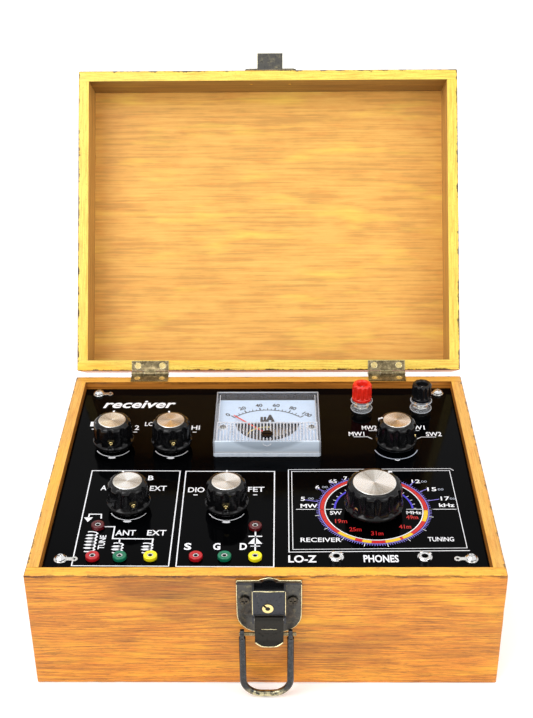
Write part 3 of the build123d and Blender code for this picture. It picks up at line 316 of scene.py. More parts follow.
def antique(name, dark, worn, wear, rough=0.34):
    """Chemically blackened brass, rubbed through where fingers and edges touch."""
    m = Mat(name)
    t = m.noise((0.30, 0.30, 0.30), (1, 4, 2), 5.0, 0.65)
    f = m.noise((1.9, 1.9, 1.9), (3, 3, 8), 3.0, 0.6)
    g = m.noise((0.7, 0.7, 0.7), (6, 2, 2), 2.0, 0.5)
    k = m.math("ADD", m.math("MULTIPLY", t, 0.65), m.math("MULTIPLY", f, 0.35))
    w = m.remap(k, 0.62 - wear, 0.80 - wear * 0.8)
    c = m.mix(w, dark, worn)
    c = m.mix(m.remap(g, 0.55, 0.8), c, tuple(v * 0.45 for v in dark))
    r = m.math("MULTIPLY_ADD", f, 0.26, rough - 0.08)
    m.set(color=c, metal=0.92, rough=r, normal=m.bump(m.math("ADD", f, t), 0.30, 0.035))
    return m.mat


def ink(name, color, rough=0.4):
    m = Mat(name)
    n = m.noise((1.2, 1.2, 1.2), (4, 4, 4), 3.0)
    c = m.mix(m.remap(n, 0.4, 0.75), color, tuple(v * 0.72 for v in color))
    m.set(color=c, rough=m.math("MULTIPLY_ADD", n, 0.2, rough - 0.1), normal=m.bump(n, 0.1, 0.01), spec=0.4)
    return m.mat


def clear(name, tint, alpha, rough=0.04, coat=0.6, spec=0.8):
    m = Mat(name)
    n = m.noise((0.15, 0.15, 0.15), (2, 2, 2), 3.0)
    c = m.mix(m.remap(n, 0.35, 0.7), tint, tuple(v * 0.9 for v in tint))
    fine = m.noise((0.9, 0.9, 0.9), (1, 1, 1), 2.0)
    a = m.math("MULTIPLY_ADD", n, min(0.10, alpha), alpha - min(0.10, alpha) / 2)
    m.set(color=c, rough=m.math("MULTIPLY_ADD", fine, 0.05, rough), normal=m.bump(fine, 0.06, 0.01), alpha=a, spec=spec,
          coat=coat, coat_rough=0.03)
    m.mat.blend_method = "BLEND" if hasattr(m.mat, "blend_method") else None
    return m.mat


W_LIGHT, W_MID, W_DARK = srgb(240, 160, 42), srgb(218, 134, 34), srgb(84, 44, 12)
# painted light: this rim colour, and the rim colours given to the back and side boards below, are lighter than the
# board faces, standing in for the light on the up-facing rims
RIM_LIT = srgb(246, 186, 66)
# painted shade: inside colour of the case boards
IN_CASE_SHADE = srgb(196, 122, 48)
wood_front = wood("wood_front", "X", W_LIGHT, W_MID, W_DARK, 2.3, 1.0, 0.40, 0.62, 1.0, rim_z=CH, scorch=0.9,
                  faces=[("+z", RIM_LIT, 0.9)], inner=IN_CASE_SHADE, burn=0.45, pores=0.9)
wood_back = wood("wood_back", "X", W_LIGHT, W_MID, W_DARK, 3.1, 2.0, 0.45, 0.30, 0.65, rim_z=CH, scorch=0.6,
                 faces=[("+z", srgb(226, 172, 78), 0.9)], inner=IN_CASE_SHADE, burn=0.9)
wood_side = wood("wood_side", "Y", W_LIGHT, W_MID, W_DARK, 2.9, 3.0, 0.45, 0.35, 0.65, rim_z=CH, scorch=0.6,
                 faces=[("+z", srgb(232, 182, 88), 0.8)], inner=IN_CASE_SHADE, burn=0.9)
# painted light: the lid rim colour, lighter still, for the light on the rims that face forward when the lid is open
LRIM_LIT = srgb(250, 224, 98)
L_IN = srgb(214, 150, 70)
# painted shade: inside colours of the lid boards, darker on the front and back boards than on the sides
IN_LID_SHADE = srgb(132, 106, 54)
IN_LID_Y_SHADE = srgb(206, 164, 88)
wood_lid_x = wood("wood_lid_x", "X", W_LIGHT, W_MID, W_DARK, 2.6, 4.0, 0.45, 0.35, 0.85, faces=[("-z", LRIM_LIT, 0.9)], inner=IN_LID_SHADE, burn=1.0)
wood_lid_y = wood("wood_lid_y", "Y", W_LIGHT, W_MID, W_DARK, 2.8, 5.0, 0.45, 0.35, 0.85, faces=[("-z", LRIM_LIT, 0.9)], inner=IN_LID_Y_SHADE, burn=1.0)
wood_lid_out = wood("wood_lid_out", "XY", W_LIGHT, W_MID, W_DARK, 4.2, 6.0, 0.6, 0.40, 0.5)
wood_lining = wood("wood_lining", "XY", srgb(238, 184, 90), srgb(230, 170, 80), srgb(192, 122, 48), 1.25, 7.0, 0.14, 0.10,
                   0.36, rough=0.55, pores=0.10)
wood_bottom = wood("wood_bottom", "XY", srgb(222, 178, 118), srgb(198, 148, 88), srgb(120, 76, 36), 3.6, 8.0, 0.45, 0.25, 0.5)
wood_raw = wood("wood_raw", "X", srgb(226, 190, 140), srgb(206, 164, 110), srgb(140, 96, 54), 2.2, 9.0, 0.45, 0.2, 0.5)

bronze = antique("antique_bronze", (0.085, 0.082, 0.075), (0.26, 0.23, 0.14), 0.10, 0.30)
def bail_finish():
    m = Mat("antique_bronze_bail")
    x, y, z = m.sep()
    t = m.noise((0.5, 0.5, 0.5), (1, 4, 2), 4.0, 0.65)
    f = m.noise((2.4, 2.4, 2.4), (3, 3, 8), 3.0, 0.6)
    c = m.mix(m.remap(t, 0.45, 0.7), (0.045, 0.047, 0.050), (0.085, 0.088, 0.092))
    c = m.mix(m.remap(f, 0.62, 0.75), c, (0.24, 0.20, 0.11))
    # painted highlight and rubbed brass: the bail is tinted bright brass towards its lower end
    lower_end_highlight = m.math("MULTIPLY", m.remap(z, 7.5, 3.0), m.remap(t, 0.38, 0.55))
    c = m.mix(lower_end_highlight, c, (0.62, 0.56, 0.34))
    m.set(color=c, metal=0.95, rough=m.math("MULTIPLY_ADD", f, 0.22, 0.10), normal=m.bump(m.math("ADD", f, t), 0.25, 0.03))
    return m.mat


bronze_bail = bail_finish()
# rubbed brass and painted edge highlight: bright brass for the edges of the blackened fittings
bronze_edge_worn_lit = antique("antique_bronze_edge", (0.50, 0.43, 0.20), (0.95, 0.86, 0.52), 0.30, 0.22)
bronze_dark = antique("antique_bronze_dark", (0.030, 0.028, 0.024), (0.12, 0.10, 0.06), 0.02, 0.36)
bronze_block = antique("antique_bronze_block", (0.050, 0.052, 0.058), (0.16, 0.15, 0.12), 0.03, 0.26)
hinge_brass = antique("hinge_brass", (0.16, 0.125, 0.065), (0.50, 0.40, 0.22), 0.16, 0.30)
brass = metal("bright_brass", (0.86, 0.68, 0.30), (0.36, 0.24, 0.08), 0.2, grain=0.02, tarnish=0.45)
chrome = metal("chrome_plate", (0.80, 0.80, 0.80), (0.30, 0.30, 0.31), 0.12, grain=0.004, tarnish=0.15)
nickel = metal("nickel", (0.72, 0.70, 0.66), (0.32, 0.30, 0.27), 0.18, grain=0.01, tarnish=0.3)
steel = metal("pin_steel", (0.52, 0.50, 0.46), (0.20, 0.18, 0.15), 0.3, brushed="X", tarnish=0.4)
tinned = metal("tinned_lug", (0.78, 0.77, 0.74), (0.34, 0.33, 0.30), 0.24, grain=0.02, tarnish=0.35)
alum = metal("aluminium_sheet", (0.72, 0.73, 0.74), (0.42, 0.43, 0.44), 0.34, brushed="X", grain=0.02, tarnish=0.35)
copper = metal("copper_wire", (0.80, 0.38, 0.16), (0.34, 0.12, 0.05), 0.24, brushed="Z", grain=0.05, tarnish=0.4)
magnet = metal("black_oxide", (0.045, 0.045, 0.05), (0.02, 0.02, 0.02), 0.45, grain=0.02, tarnish=0.5)

knob_black = plastic("knob_black", (0.0022, 0.0022, 0.0027), 0.13, 0.3, coat=0.0, grain=0.006, spec=0.30)
post_red = plastic("post_red", srgb(232, 40, 22), 0.24, 0.12, coat=0.15, grain=0.02, sss=0.05)
post_black = plastic("post_black", (0.004, 0.004, 0.005), 0.2, 0.2, coat=0.0, grain=0.02, spec=0.3)
sock_dark_red = plastic("socket_dark_red", srgb(84, 8, 16), 0.22, 0.2, coat=0.08, grain=0.02)
sock_red = plastic("socket_red", srgb(178, 14, 26), 0.26, 0.14, coat=0.08, grain=0.02, sss=0.05)
sock_green = plastic("socket_green", srgb(4, 112, 78), 0.26, 0.14, coat=0.08, grain=0.02, sss=0.05)
sock_yellow = plastic("socket_yellow", srgb(250, 232, 16), 0.28, 0.08, coat=0.3, grain=0.02, sss=0.05)
black_body = plastic("black_moulding", (0.012, 0.012, 0.013), 0.35, 0.2, grain=0.03)
white_body = plastic("meter_white", srgb(226, 232, 240), 0.3, 0.04, coat=0.2, grain=0.01)
dial_white = plastic("dial_white", (0.53, 0.64, 0.80), 0.55, 0.03, grain=0.006, spec=0.2)
phenolic = plastic("phenolic_brown", srgb(96, 58, 30), 0.45, 0.25, grain=0.05)
board_green = plastic("board_green", srgb(30, 96, 48), 0.4, 0.25, grain=0.02, coat=0.3)
ferrite = plastic("ferrite_grey", srgb(58, 58, 60), 0.6, 0.3, grain=0.08)

ink_white = ink("ink_white", srgb(246, 246, 250), 0.4)
ink_grey = ink("ink_grey", srgb(176, 182, 196), 0.45)
ink_violet = ink("ink_violet", srgb(140, 130, 226), 0.4)
ink_blue = ink("ink_blue", srgb(72, 60, 214), 0.4)
ink_red = ink("ink_red", srgb(204, 34, 34), 0.4)
ink_yellow = ink("ink_yellow", srgb(246, 196, 40), 0.4)
ink_black = ink("ink_black", (0.012, 0.012, 0.014), 0.5)
lacquer_red = ink("needle_lacquer", srgb(232, 54, 40), 0.35)


def panel_material():
    """Black laminate under a high gloss, with faint cloudiness, fine dust and hairline wipes."""
    m = Mat("panel_gloss")
    cloud = m.noise((0.012, 0.02, 0.02), (1, 2, 3), 3.0)
    c = m.ramp(cloud, [(0.3, (0.0004, 0.0004, 0.0005)), (0.7, (0.0009, 0.0010, 0.0014))])
    dust = m.noise((2.6, 2.6, 2.6), (9, 9, 9), 1.0)
    c = m.mix(m.remap(dust, 0.82, 0.88, 0.0, 0.35), c, (0.08, 0.08, 0.08))
    wipe = m.noise((0.02, 1.6, 1.0), (2, 8, 4), 3.0, 0.6)
    r = m.math("MULTIPLY_ADD", wipe, 0.07, 0.035)
    wav = m.noise((0.02, 0.02, 0.02), (6, 1, 1), 2.0)
    m.set(color=c, rough=r, spec=0.03, normal=m.bump(wav, 0.04, 0.2))
    return m.mat


panel_gloss = panel_material()


def disc_material():
    """Aluminium disc, face-turned: concentric cuts, with bright and dark sectors painted into its colour as a painted
    reflection.
    """
    m = Mat("turned_disc")
    x, y, z = m.sep()
    r = m.math("SQRT", m.math("ADD", m.math("MULTIPLY", x, x), m.math("MULTIPLY", y, y)))
    ang = m.math("ARCTAN2", y, x)
    rings = m.math("SINE", m.math("MULTIPLY", r, 26.0))
    # painted reflection: a noisy turn of sectors and a bow-tie of brightness by angle lighten and darken the disc's
    # colour
    sect = m.noise((1.0, 1.0, 1.0), (0, 0, 0), 3.0, 0.7,
                   src=m.comb(m.math("MULTIPLY", m.math("COSINE", ang), 2.6), m.math("MULTIPLY", m.math("SINE", ang), 2.6), 0.0))
    bow_highlight = m.math("POWER", m.math("ABSOLUTE", m.math("COSINE", m.math("ADD", ang, 0.5))), 1.6)
    f = m.math("MULTIPLY_ADD", sect, 0.55, m.math("MULTIPLY", bow_highlight, 0.42))
    c = m.ramp(f, [(0.20, (0.42, 0.38, 0.33)), (0.42, (0.74, 0.71, 0.66)), (0.62, (1.0, 0.99, 0.97))])
    tan = m.t.nodes.new("ShaderNodeTangent")
    tan.direction_type = "RADIAL"
    tan.axis = "Z"
    m.set(color=c, metal=1.0, rough=m.math("MULTIPLY_ADD", rings, 0.03, 0.26), aniso=0.75, tangent=tan.outputs[0],
          normal=m.bump(rings, 0.10, 0.01))
    return m.mat


turned = disc_material()

cover_clear = clear("cover_window", (0.90, 0.93, 0.98), 0.03, coat=0.0, spec=0.25)
cover_wall = clear("cover_wall", (0.10, 0.10, 0.12), 0.30, coat=0.0, spec=0.3)


def cover_front():
    """Front wall of the cover: cloudy, paler towards its foot, with the round well faintly showing through."""
    m = Mat("cover_front_wall")
    x, y, z = m.sep()
    n = m.noise((0.10, 0.5, 0.8), (2, 2, 2), 3.0)
    foot = m.remap(z, MB_ + 1.6, MB_ + 0.6)
    c = m.mix(n, (0.60, 0.72, 0.86), (0.76, 0.85, 0.95))
    arc_ = m.math("SUBTRACT", m.math("DIVIDE", m.math("POWER", x, 2.0), 20.0 ** 2), m.math("DIVIDE", m.math("SUBTRACT", z, MB_ + 1.6), 6.2))
    c = m.mix(m.remap(arc_, 0.12, -0.25, 0.0, 0.55), c, (0.22, 0.27, 0.34))
    c = m.mix(foot, c, (0.92, 0.95, 1.0))
    m.set(color=c, rough=m.math("MULTIPLY_ADD", n, 0.1, 0.05), alpha=0.86, spec=0.5, coat=0.3, coat_rough=0.05, normal=m.bump(n, 0.1, 0.05))
    return m.mat


MB_ = PT + 2.6
cover_frost = cover_front()
# painted highlight: whitish, half-opaque material for the edges of the clear mouldings, standing in for the light that
# clear edges catch
cover_edge = clear("cover_edge", (0.86, 0.90, 0.97), 0.72, 0.06)
cover_rib = clear("cover_rib", (0.82, 0.86, 0.95), 0.50, 0.08)
gold = metal("hairspring_gold", (0.95, 0.78, 0.25), (0.5, 0.36, 0.1), 0.25, tarnish=0.2)
collar_clear = clear("collar_clear", (0.80, 0.84, 0.90), 0.16, 0.05, coat=0.5, spec=0.7)


# ---------------------------------------------------------------- mesh helpers
def link(o):
    bpy.context.scene.collection.objects.link(o)
    return o


def finish_mesh(me, angle=32.0):
    me.shade_smooth()
    me.set_sharp_from_angle(angle=math.radians(angle))


def obj_from(name, verts, faces, mats, body, M=None, idx=None, replaces=(), angle=32.0):
    me = bpy.data.meshes.new(name)
    me.from_pydata([Vector(v) * MM for v in verts], [], faces)
    if idx is not None:
        me.polygons.foreach_set("material_index", idx)
    me.update()
    bm = bmesh.new()
    bm.from_mesh(me)
    bmesh.ops.remove_doubles(bm, verts=bm.verts, dist=1e-7)
    bmesh.ops.recalc_face_normals(bm, faces=bm.faces)
    bm.to_mesh(me)
    bm.free()
    finish_mesh(me, angle)
    o = link(bpy.data.objects.new(name, me))
    for m in (mats if isinstance(mats, (list, tuple)) else [mats]):
        me.materials.append(m)
    if M is not None:
        o.matrix_world = M
    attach(o, body)
    if replaces:
        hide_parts(*replaces)
    return o


def apply_mods(o, angle=32.0):
    bpy.context.view_layer.update()
    dg = bpy.context.evaluated_depsgraph_get()
    me = bpy.data.meshes.new_from_object(o.evaluated_get(dg))
    old = o.data
    o.modifiers.clear()
    o.data = me
    bpy.data.meshes.remove(old)
    if angle is not None:
        finish_mesh(o.data, angle)


def refine(node, mats, width=0.15, segs=2, edge=None, angle=30.0, name=None, clean=True, shade=32.0, clamp=True):
    """A copy of a CAD node with its hard edges rounded off, so that they catch the light."""
    src = NODES[node]
    me = src.data.copy()
    me.materials.clear()
    bm = bmesh.new()
    bm.from_mesh(me)
    bmesh.ops.remove_doubles(bm, verts=bm.verts, dist=2e-6)
    if clean:
        bmesh.ops.dissolve_limit(bm, angle_limit=math.radians(0.6), verts=bm.verts, edges=bm.edges)
    bmesh.ops.recalc_face_normals(bm, faces=bm.faces)
    for f in bm.faces:
        f.material_index = 0
    bm.to_mesh(me)
    bm.free()
    o = link(bpy.data.objects.new(name or node + "_finished", me))
    for m in (mats if isinstance(mats, (list, tuple)) else [mats]):
        me.materials.append(m)
    if width:
        b = o.modifiers.new("edge", "BEVEL")
        b.width = width * MM
        b.segments = segs
        b.limit_method = "ANGLE"
        b.angle_limit = math.radians(angle)
        b.use_clamp_overlap = clamp
        b.harden_normals = True
        if edge is not None:
            b.material = edge
        finish_mesh(me, shade)
        apply_mods(o, None)
    else:
        finish_mesh(me, shade)
    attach(o, src["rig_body"])
    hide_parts(node)
    return o


def paint(node, mat):
    """Keeps a CAD node's own shape and gives it a finish."""
    me = NODES[node].data
    me.materials.clear()
    me.materials.append(mat)
    for p in me.polygons:
        p.material_index = 0


def lathe(profile, n=64, start=0.0):
    """Closed surface of revolution about +Z from (radius, z) points; a radius of 0 closes an end."""
    verts, faces, rings = [], [], []
    for r, z in profile:
        if r <= 1e-6:
            rings.append([len(verts)])
            verts.append((0, 0, z))
        else:
            rings.append(list(range(len(verts), len(verts) + n)))
            verts += [(r * math.cos(start + 2 * math.pi * i / n), r * math.sin(start + 2 * math.pi * i / n), z) for i in range(n)]
    for a, b in zip(rings, rings[1:]):
        for i in range(n):
            j = (i + 1) % n
            if len(a) == 1 and len(b) == 1:
                continue
            if len(a) == 1:
                faces.append((a[0], b[i], b[j]))
            elif len(b) == 1:
                faces.append((a[i], a[j], b[0]))
            else:
                faces.append((a[i], a[j], b[j], b[i]))
    return verts, faces


def ring_lathe(profile, n=64):
    """Revolution of a closed profile loop (a ring with a hole)."""
    return lathe(list(profile) + [profile[0]], n)


def join(*parts):
    verts, faces, idx = [], [], []
    for p in parts:
        v, f = p[0], p[1]
        k = p[2] if len(p) > 2 else 0
        b = len(verts)
        verts += [tuple(q) for q in v]
        faces += [tuple(b + i for i in g) for g in f]
        idx += [k] * len(f)
    return verts, faces, idx


def moved(vf, M):
    return [tuple(M @ Vector(v)) for v in vf[0]], vf[1]


def at(x, y, z=0.0, rot=0.0):
    return Matrix.Translation(Vector((x, y, z)) * MM) @ Matrix.Rotation(rot, 4, "Z")


def board_mesh(x0, x1, y0, y1, z0, z1, r=1.0, step=5.0, seed=0.0, wob=0.12, round_keys=None):
    """A planed board: long faces cut into a grid, arrises eased by hand so that the radius wanders."""
    bm = bmesh.new()
    bmesh.ops.create_cube(bm, size=1.0)
    for v in bm.verts:
        v.co = Vector(((x0 + x1) / 2 + v.co.x * (x1 - x0), (y0 + y1) / 2 + v.co.y * (y1 - y0), (z0 + z1) / 2 + v.co.z * (z1 - z0)))
    edges = list(bm.edges)
    if round_keys is not None:
        edges = [e for e in edges if round_keys((e.verts[0].co + e.verts[1].co) / 2, (e.verts[0].co - e.verts[1].co).normalized())]
    if edges:
        bmesh.ops.bevel(bm, geom=edges, offset=r, segments=3, profile=0.5, affect="EDGES", clamp_overlap=True)
    for ax, (a, b) in enumerate(((x0, x1), (y0, y1), (z0, z1))):
        k = int((b - a) / step)
        for i in range(1, k):
            p = Vector((0, 0, 0))
            p[ax] = a + (b - a) * i / k
            nrm = Vector((0, 0, 0))
            nrm[ax] = 1
            bmesh.ops.bisect_plane(bm, geom=list(bm.verts) + list(bm.edges) + list(bm.faces), plane_co=p, plane_no=nrm, dist=1e-4)
    inner = Vector(((x0 + x1) / 2, (y0 + y1) / 2, (z0 + z1) / 2))
    ext = Vector(((x1 - x0) / 2, (y1 - y0) / 2, (z1 - z0) / 2))
    for v in bm.verts:
        d = v.co - inner
        near = sum(1 for i in range(3) if ext[i] - abs(d[i]) < r * 1.2)
        if near >= 2:
            w = (noise.noise(v.co * 0.13 + Vector((seed, seed * 2, 1))) + 0.6 * noise.noise(v.co * 0.45 + Vector((seed, 3, 7)))) * wob
            w = -abs(w) * 1.4
            for i in range(3):
                if ext[i] - abs(d[i]) < r * 1.2:
                    v.co[i] += w * (1 if d[i] > 0 else -1)
    bm.normal_update()
    verts = [tuple(v.co) for v in bm.verts]
    bm.verts.index_update()
    faces = [tuple(v.index for v in f.verts) for f in bm.faces]
    bm.free()
    return verts, faces


# ---------------------------------------------------------------- printed markings
class Ink:
    """Flat screen-printed shapes that lie on a surface at height z."""

    def __init__(self, z):
        self.z, self.v, self.f = z, [], []

    def poly(self, pts):
        b = len(self.v)
        self.v += [(x, y, self.z) for x, y in pts]
        self.f.append(tuple(range(b, b + len(pts))))

    def line(self, pts, w, closed=False):
        n = len(pts)
        P = [Vector(p) for p in pts]
        L, R = [], []
        for i in range(n):
            prv = P[i - 1] if (i > 0 or closed) else None
            nxt = P[(i + 1) % n] if (i < n - 1 or closed) else None
            d1 = (P[i] - prv).normalized() if prv is not None else (nxt - P[i]).normalized()
            d2 = (nxt - P[i]).normalized() if nxt is not None else d1
            t = (d1 + d2)
            t = t.normalized() if t.length > 1e-6 else d1
            nrm = Vector((-t.y, t.x))
            k = max(0.35, nrm.dot(Vector((-d1.y, d1.x))))
            L.append(P[i] + nrm * w / 2 / k)
            R.append(P[i] - nrm * w / 2 / k)
        m = n if closed else n - 1
        for i in range(m):
            j = (i + 1) % n
            self.poly([L[i], R[i], R[j], L[j]])

    def arc(self, cx, cy, r, a0, a1, w, n=None):
        n = n or max(6, int(abs(a1 - a0) / 3))
        for i in range(n):
            t0, t1 = math.radians(a0 + (a1 - a0) * i / n), math.radians(a0 + (a1 - a0) * (i + 1) / n)
            self.poly([(cx + rr * math.cos(t), cy + rr * math.sin(t)) for rr, t in
                       ((r - w / 2, t0), (r + w / 2, t0), (r + w / 2, t1), (r - w / 2, t1))])

    def tick(self, cx, cy, r0, r1, a, w):
        t = math.radians(a)
        self.line([(cx + r0 * math.cos(t), cy + r0 * math.sin(t)), (cx + r1 * math.cos(t), cy + r1 * math.sin(t))], w)

    def text(self, s, x, y, h, width=None, rot=0.0, bold=0.0, shear=0.0, align="CENTER", spacing=1.0):
        cu = bpy.data.curves.new("t", "FONT")
        cu.body = s
        cu.size = 1.0
        cu.offset = bold
        cu.shear = shear
        cu.space_character = spacing
        cu.resolution_u = 3
        cu.fill_mode = "FRONT"
        ob = bpy.data.objects.new("t", cu)
        link(ob)
        bpy.context.view_layer.update()
        me = bpy.data.meshes.new_from_object(ob.evaluated_get(bpy.context.evaluated_depsgraph_get()))
        bpy.data.objects.remove(ob)
        bpy.data.curves.remove(cu)
        if not me.vertices:
            return
        xs = [v.co.x for v in me.vertices]
        ys = [v.co.y for v in me.vertices]
        w0 = max(xs) - min(xs)
        k = h / 0.70
        kx = (width / w0) if width else k
        ox = {"CENTER": (max(xs) + min(xs)) / 2, "LEFT": min(xs), "RIGHT": max(xs)}[align]
        ca, sa = math.cos(math.radians(rot)), math.sin(math.radians(rot))
        b = len(self.v)
        for v in me.vertices:
            px, py = (v.co.x - ox) * kx, v.co.y * k - h / 2
            self.v.append((x + px * ca - py * sa, y + px * sa + py * ca, self.z))
        self.f += [tuple(b + i for i in p.vertices) for p in me.polygons]
        bpy.data.meshes.remove(me)

    def disc(self, x, y, r, n=24):
        self.poly([(x + r * math.cos(2 * math.pi * i / n), y + r * math.sin(2 * math.pi * i / n)) for i in range(n)])

    def make(self, name, mat, body="case", slot=None):
        if not self.f:
            return None
        me = bpy.data.meshes.new(name)
        me.from_pydata([Vector(v) * MM for v in self.v], [], self.f)
        me.update()
        for p in me.polygons:
            if p.normal.z < 0:
                p.flip()
        me.materials.append(mat)
        o = link(bpy.data.objects.new(name, me))
        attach(o, body)
        return o


# ================================================================ case
def outer_edges(xs, ys, zs):
    """Keeps the arrises that lie on the outside of the box."""
    def keep(c, d):
        hit = sum((abs(abs(c.x) - xs) < 0.2, abs(abs(c.y) - ys) < 0.2, min(abs(c.z - zs[0]), abs(c.z - zs[1])) < 0.2))
        return hit >= 2
    return keep


key = outer_edges(HX, HY, (0, CH))
v, f = board_mesh(-HX, HX, -HY, -HY + BOARD, 0, CH, 0.9, 5.0, 1.0, 0.10, key)
obj_from("front_board", v, f, wood_front, "case", replaces=["case_front_board"])
v, f = board_mesh(-HX, HX, HY - BOARD, HY, 0, CH, 0.9, 6.0, 2.0, 0.10, key)
obj_from("back_board", v, f, wood_back, "case", replaces=["case_back_board"])
parts = []
for s in (-1, 1):
    x0, x1 = sorted((s * HX, s * (HX - BOARD)))
    parts.append(board_mesh(x0, x1, -HY + BOARD, HY - BOARD, 0, CH, 0.9, 6.0, 3.0 + s, 0.10, key))
v, f, i = join(*parts)
obj_from("side_boards", v, f, wood_side, "case", replaces=["case_side_boards"])
blo, bhi = box_mm("case_bottom_panel")
v, f = board_mesh(blo[0], bhi[0], blo[1], bhi[1], blo[2], bhi[2], 0.4, 12.0, 5.0, 0.04)
obj_from("bottom_panel", v, f, wood_bottom, "case", replaces=["case_bottom_panel"])
refine("panel_cleats", wood_raw, 0.5, 2)

# ================================================================ lid, made in its shut position and turned open
LZ0 = CH + GAP
LZ1 = LZ0 + 30.0
LZ2 = LZ1 + 5.0
lkey = outer_edges(HX, HY, (LZ0, LZ2))
v, f = board_mesh(-HX, HX, -HY, -HY + BOARD, LZ0, LZ1, 0.9, 6.0, 6.0, 0.10, lkey)
obj_from("lid_front", v, f, wood_lid_x, "lid", LID_M, replaces=["lid_front_board"])
v, f = board_mesh(-HX, HX, HY - BOARD, HY, LZ0, LZ1, 0.9, 6.0, 7.0, 0.10, lkey)
obj_from("lid_back", v, f, wood_lid_x, "lid", LID_M, replaces=["lid_back_board"])
parts = []
for s in (-1, 1):
    x0, x1 = sorted((s * HX, s * (HX - BOARD)))
    parts.append(board_mesh(x0, x1, -HY + BOARD, HY - BOARD, LZ0, LZ1, 0.9, 6.0, 8.0 + s, 0.10, lkey))
v, f, i = join(*parts)
obj_from("lid_sides", v, f, wood_lid_y, "lid", LID_M, replaces=["lid_side_boards"])
v, f = board_mesh(-HX, HX, -HY, HY, LZ1, LZ2, 1.4, 7.0, 10.0, 0.12, lkey)
me_idx = []
for g in f:
    pts = [Vector(v[k]) for k in g]
    nz = (pts[1] - pts[0]).cross(pts[2] - pts[0]).normalized().z
    cz = sum(p.z for p in pts) / len(pts)
    me_idx.append(0 if abs(cz - LZ1) < 0.05 else 1)
obj_from("lid_top", v, f, [wood_lining, wood_lid_out], "lid", LID_M, idx=me_idx, replaces=["lid_top_panel"])

# ================================================================ control panel and its print
refine("control_panel", [panel_gloss], 0.18, 2)
PZ = PT + 0.03
white, grey, violet = Ink(PZ), Ink(PZ), Ink(PZ)
blue, red, yellow = Ink(PZ), Ink(PZ), Ink(PZ)


def knob_at(node):
    lo, hi = box_mm(node)
    return ((lo[0] + hi[0]) / 2, (lo[1] + hi[1]) / 2)


KPOS = {k: knob_at(k + "_knob") for k in ("meter_range", "load", "coupling", "detector", "band", "tuning")}

# frames round the three fields
white.line([(-102.4, 1.0), (-50.7, 0.6), (-51.0, -85.4), (-102.3, -85.0)], 0.62, True)
white.line([(-47.3, 0.3), (4.5, 0.0), (4.4, -86.0), (-47.1, -85.6)], 0.62, True)
white.line([(12.6, 1.7), (12.5, -73.8), (109.0, -72.6)], 0.5)
white.line([(12.6, 1.7), (107.2, 2.6), (109.0, 0.6)], 0.35)
white.line([(14.5, -0.1), (14.6, -71.6), (107.8, -70.4), (106.6, 0.6)], 0.38, True)

# heading and switch labels
white.text("receiver", -81.4, 73.6, 8.6, width=46.0, bold=0.022, shear=0.25)
for nm, items in {
    "meter_range": [("1", -108.6, 50.7, 5.0, 2.6), ("2", -80.6, 46.6, 5.0, 2.8)],
    "load": [("LO", -73.2, 50.6, 4.2, 5.6), ("HI", -44.3, 46.4, 4.6, 5.2)],
    "coupling": [("A", -93.6, -15.9, 4.6, 3.4), ("B", -67.3, -6.3, 4.4, 3.2), ("EXT", -62.2, -16.4, 4.6, 9.6)],
    "detector": [("DIO", -40.2, -17.9, 4.6, 9.4), ("FET", -5.9, -17.5, 4.6, 9.4)],
    "band": [("MW1", 54.4, 39.2, 4.4, 9.6), ("SW2", 101.4, 38.8, 4.4, 9.6), ("MW2", 62.6, 46.0, 4.4, 9.2), ("SW1", 92.0, 46.0, 4.4, 9.2)],
}.items():
    for s, x, y, h, w in items:
        white.text(s, x, y, h, width=w, bold=0.015)
for x, y in ((-81.2, 41.6), (-44.7, 41.4), (-40.4, -22.8), (-6.4, -22.8), (-107.2, 45.0)):
    white.line([(x - 1.2, y), (x + 1.2, y)], 0.8)
for k in ("meter_range", "load", "coupling", "detector"):
    x, y = KPOS[k]
    white.arc(x, y, 10.7, 205, 335, 0.6)
    white.poly([(x - 1.6, y - 10.6), (x + 1.6, y - 10.6), (x + 2.3, y - 12.3), (x + 1.0, y - 12.9), (x - 1.0, y - 12.9), (x - 2.3, y - 12.3)])
x, y = KPOS["band"]
grey.arc(x, y, 13.2, 196, 344, 0.65)
white.arc(x, y - 13.2, 1.3, 180, 360, 0.7)
white.line([(52.5, 36.0), (61.0, 36.0), (63.6, 33.6)], 0.5)
white.line([(102.5, 35.6), (93.6, 35.6), (90.6, 33.4)], 0.5)
white.line([(62.0, 42.7), (68.5, 42.7)], 0.5)
white.line([(86.5, 42.7), (93.0, 42.7)], 0.5)

# antenna and coil signs in the first field
white.line([(-91.6, -44.6), (-91.9, -40.7), (-98.6, -40.6), (-98.7, -44.0)], 0.8)
white.poly([(-101.2, -43.6), (-96.2, -43.6), (-98.7, -47.6)])


def coil_sign(x0, x1, ytop, ybot, n, w=0.8):
    pts = []
    for i in range(n * 8 + 1):
        t = i / (n * 8)
        a = 2 * math.pi * n * t
        pts.append((x0 + (x1 - x0) * (0.5 - 0.5 * math.cos(a)), ytop + (ybot - ytop) * t + math.sin(a) * 1.0))
    white.line(pts, w)


coil_sign(-97.3, -91.8, -56.6, -73.0, 6)
white.line([(-88.7, -51.9), (-83.2, -51.9), (-83.2, -62.3), (-61.2, -62.6), (-61.3, -66.6)], 0.8)
white.line([(-79.2, -62.4), (-79.2, -66.4)], 0.8)
coil_sign(-82.2, -76.8, -66.4, -74.0, 3)
coil_sign(-66.2, -60.8, -66.6, -74.0, 3)
white.text("ANT", -76.6, -57.2, 4.6, width=11.0, bold=0.015)
white.text("EXT", -59.6, -57.2, 4.6, width=10.4, bold=0.015)
white.text("TUNE", -88.6, -65.4, 3.4, width=12.0, rot=90, bold=0.015)
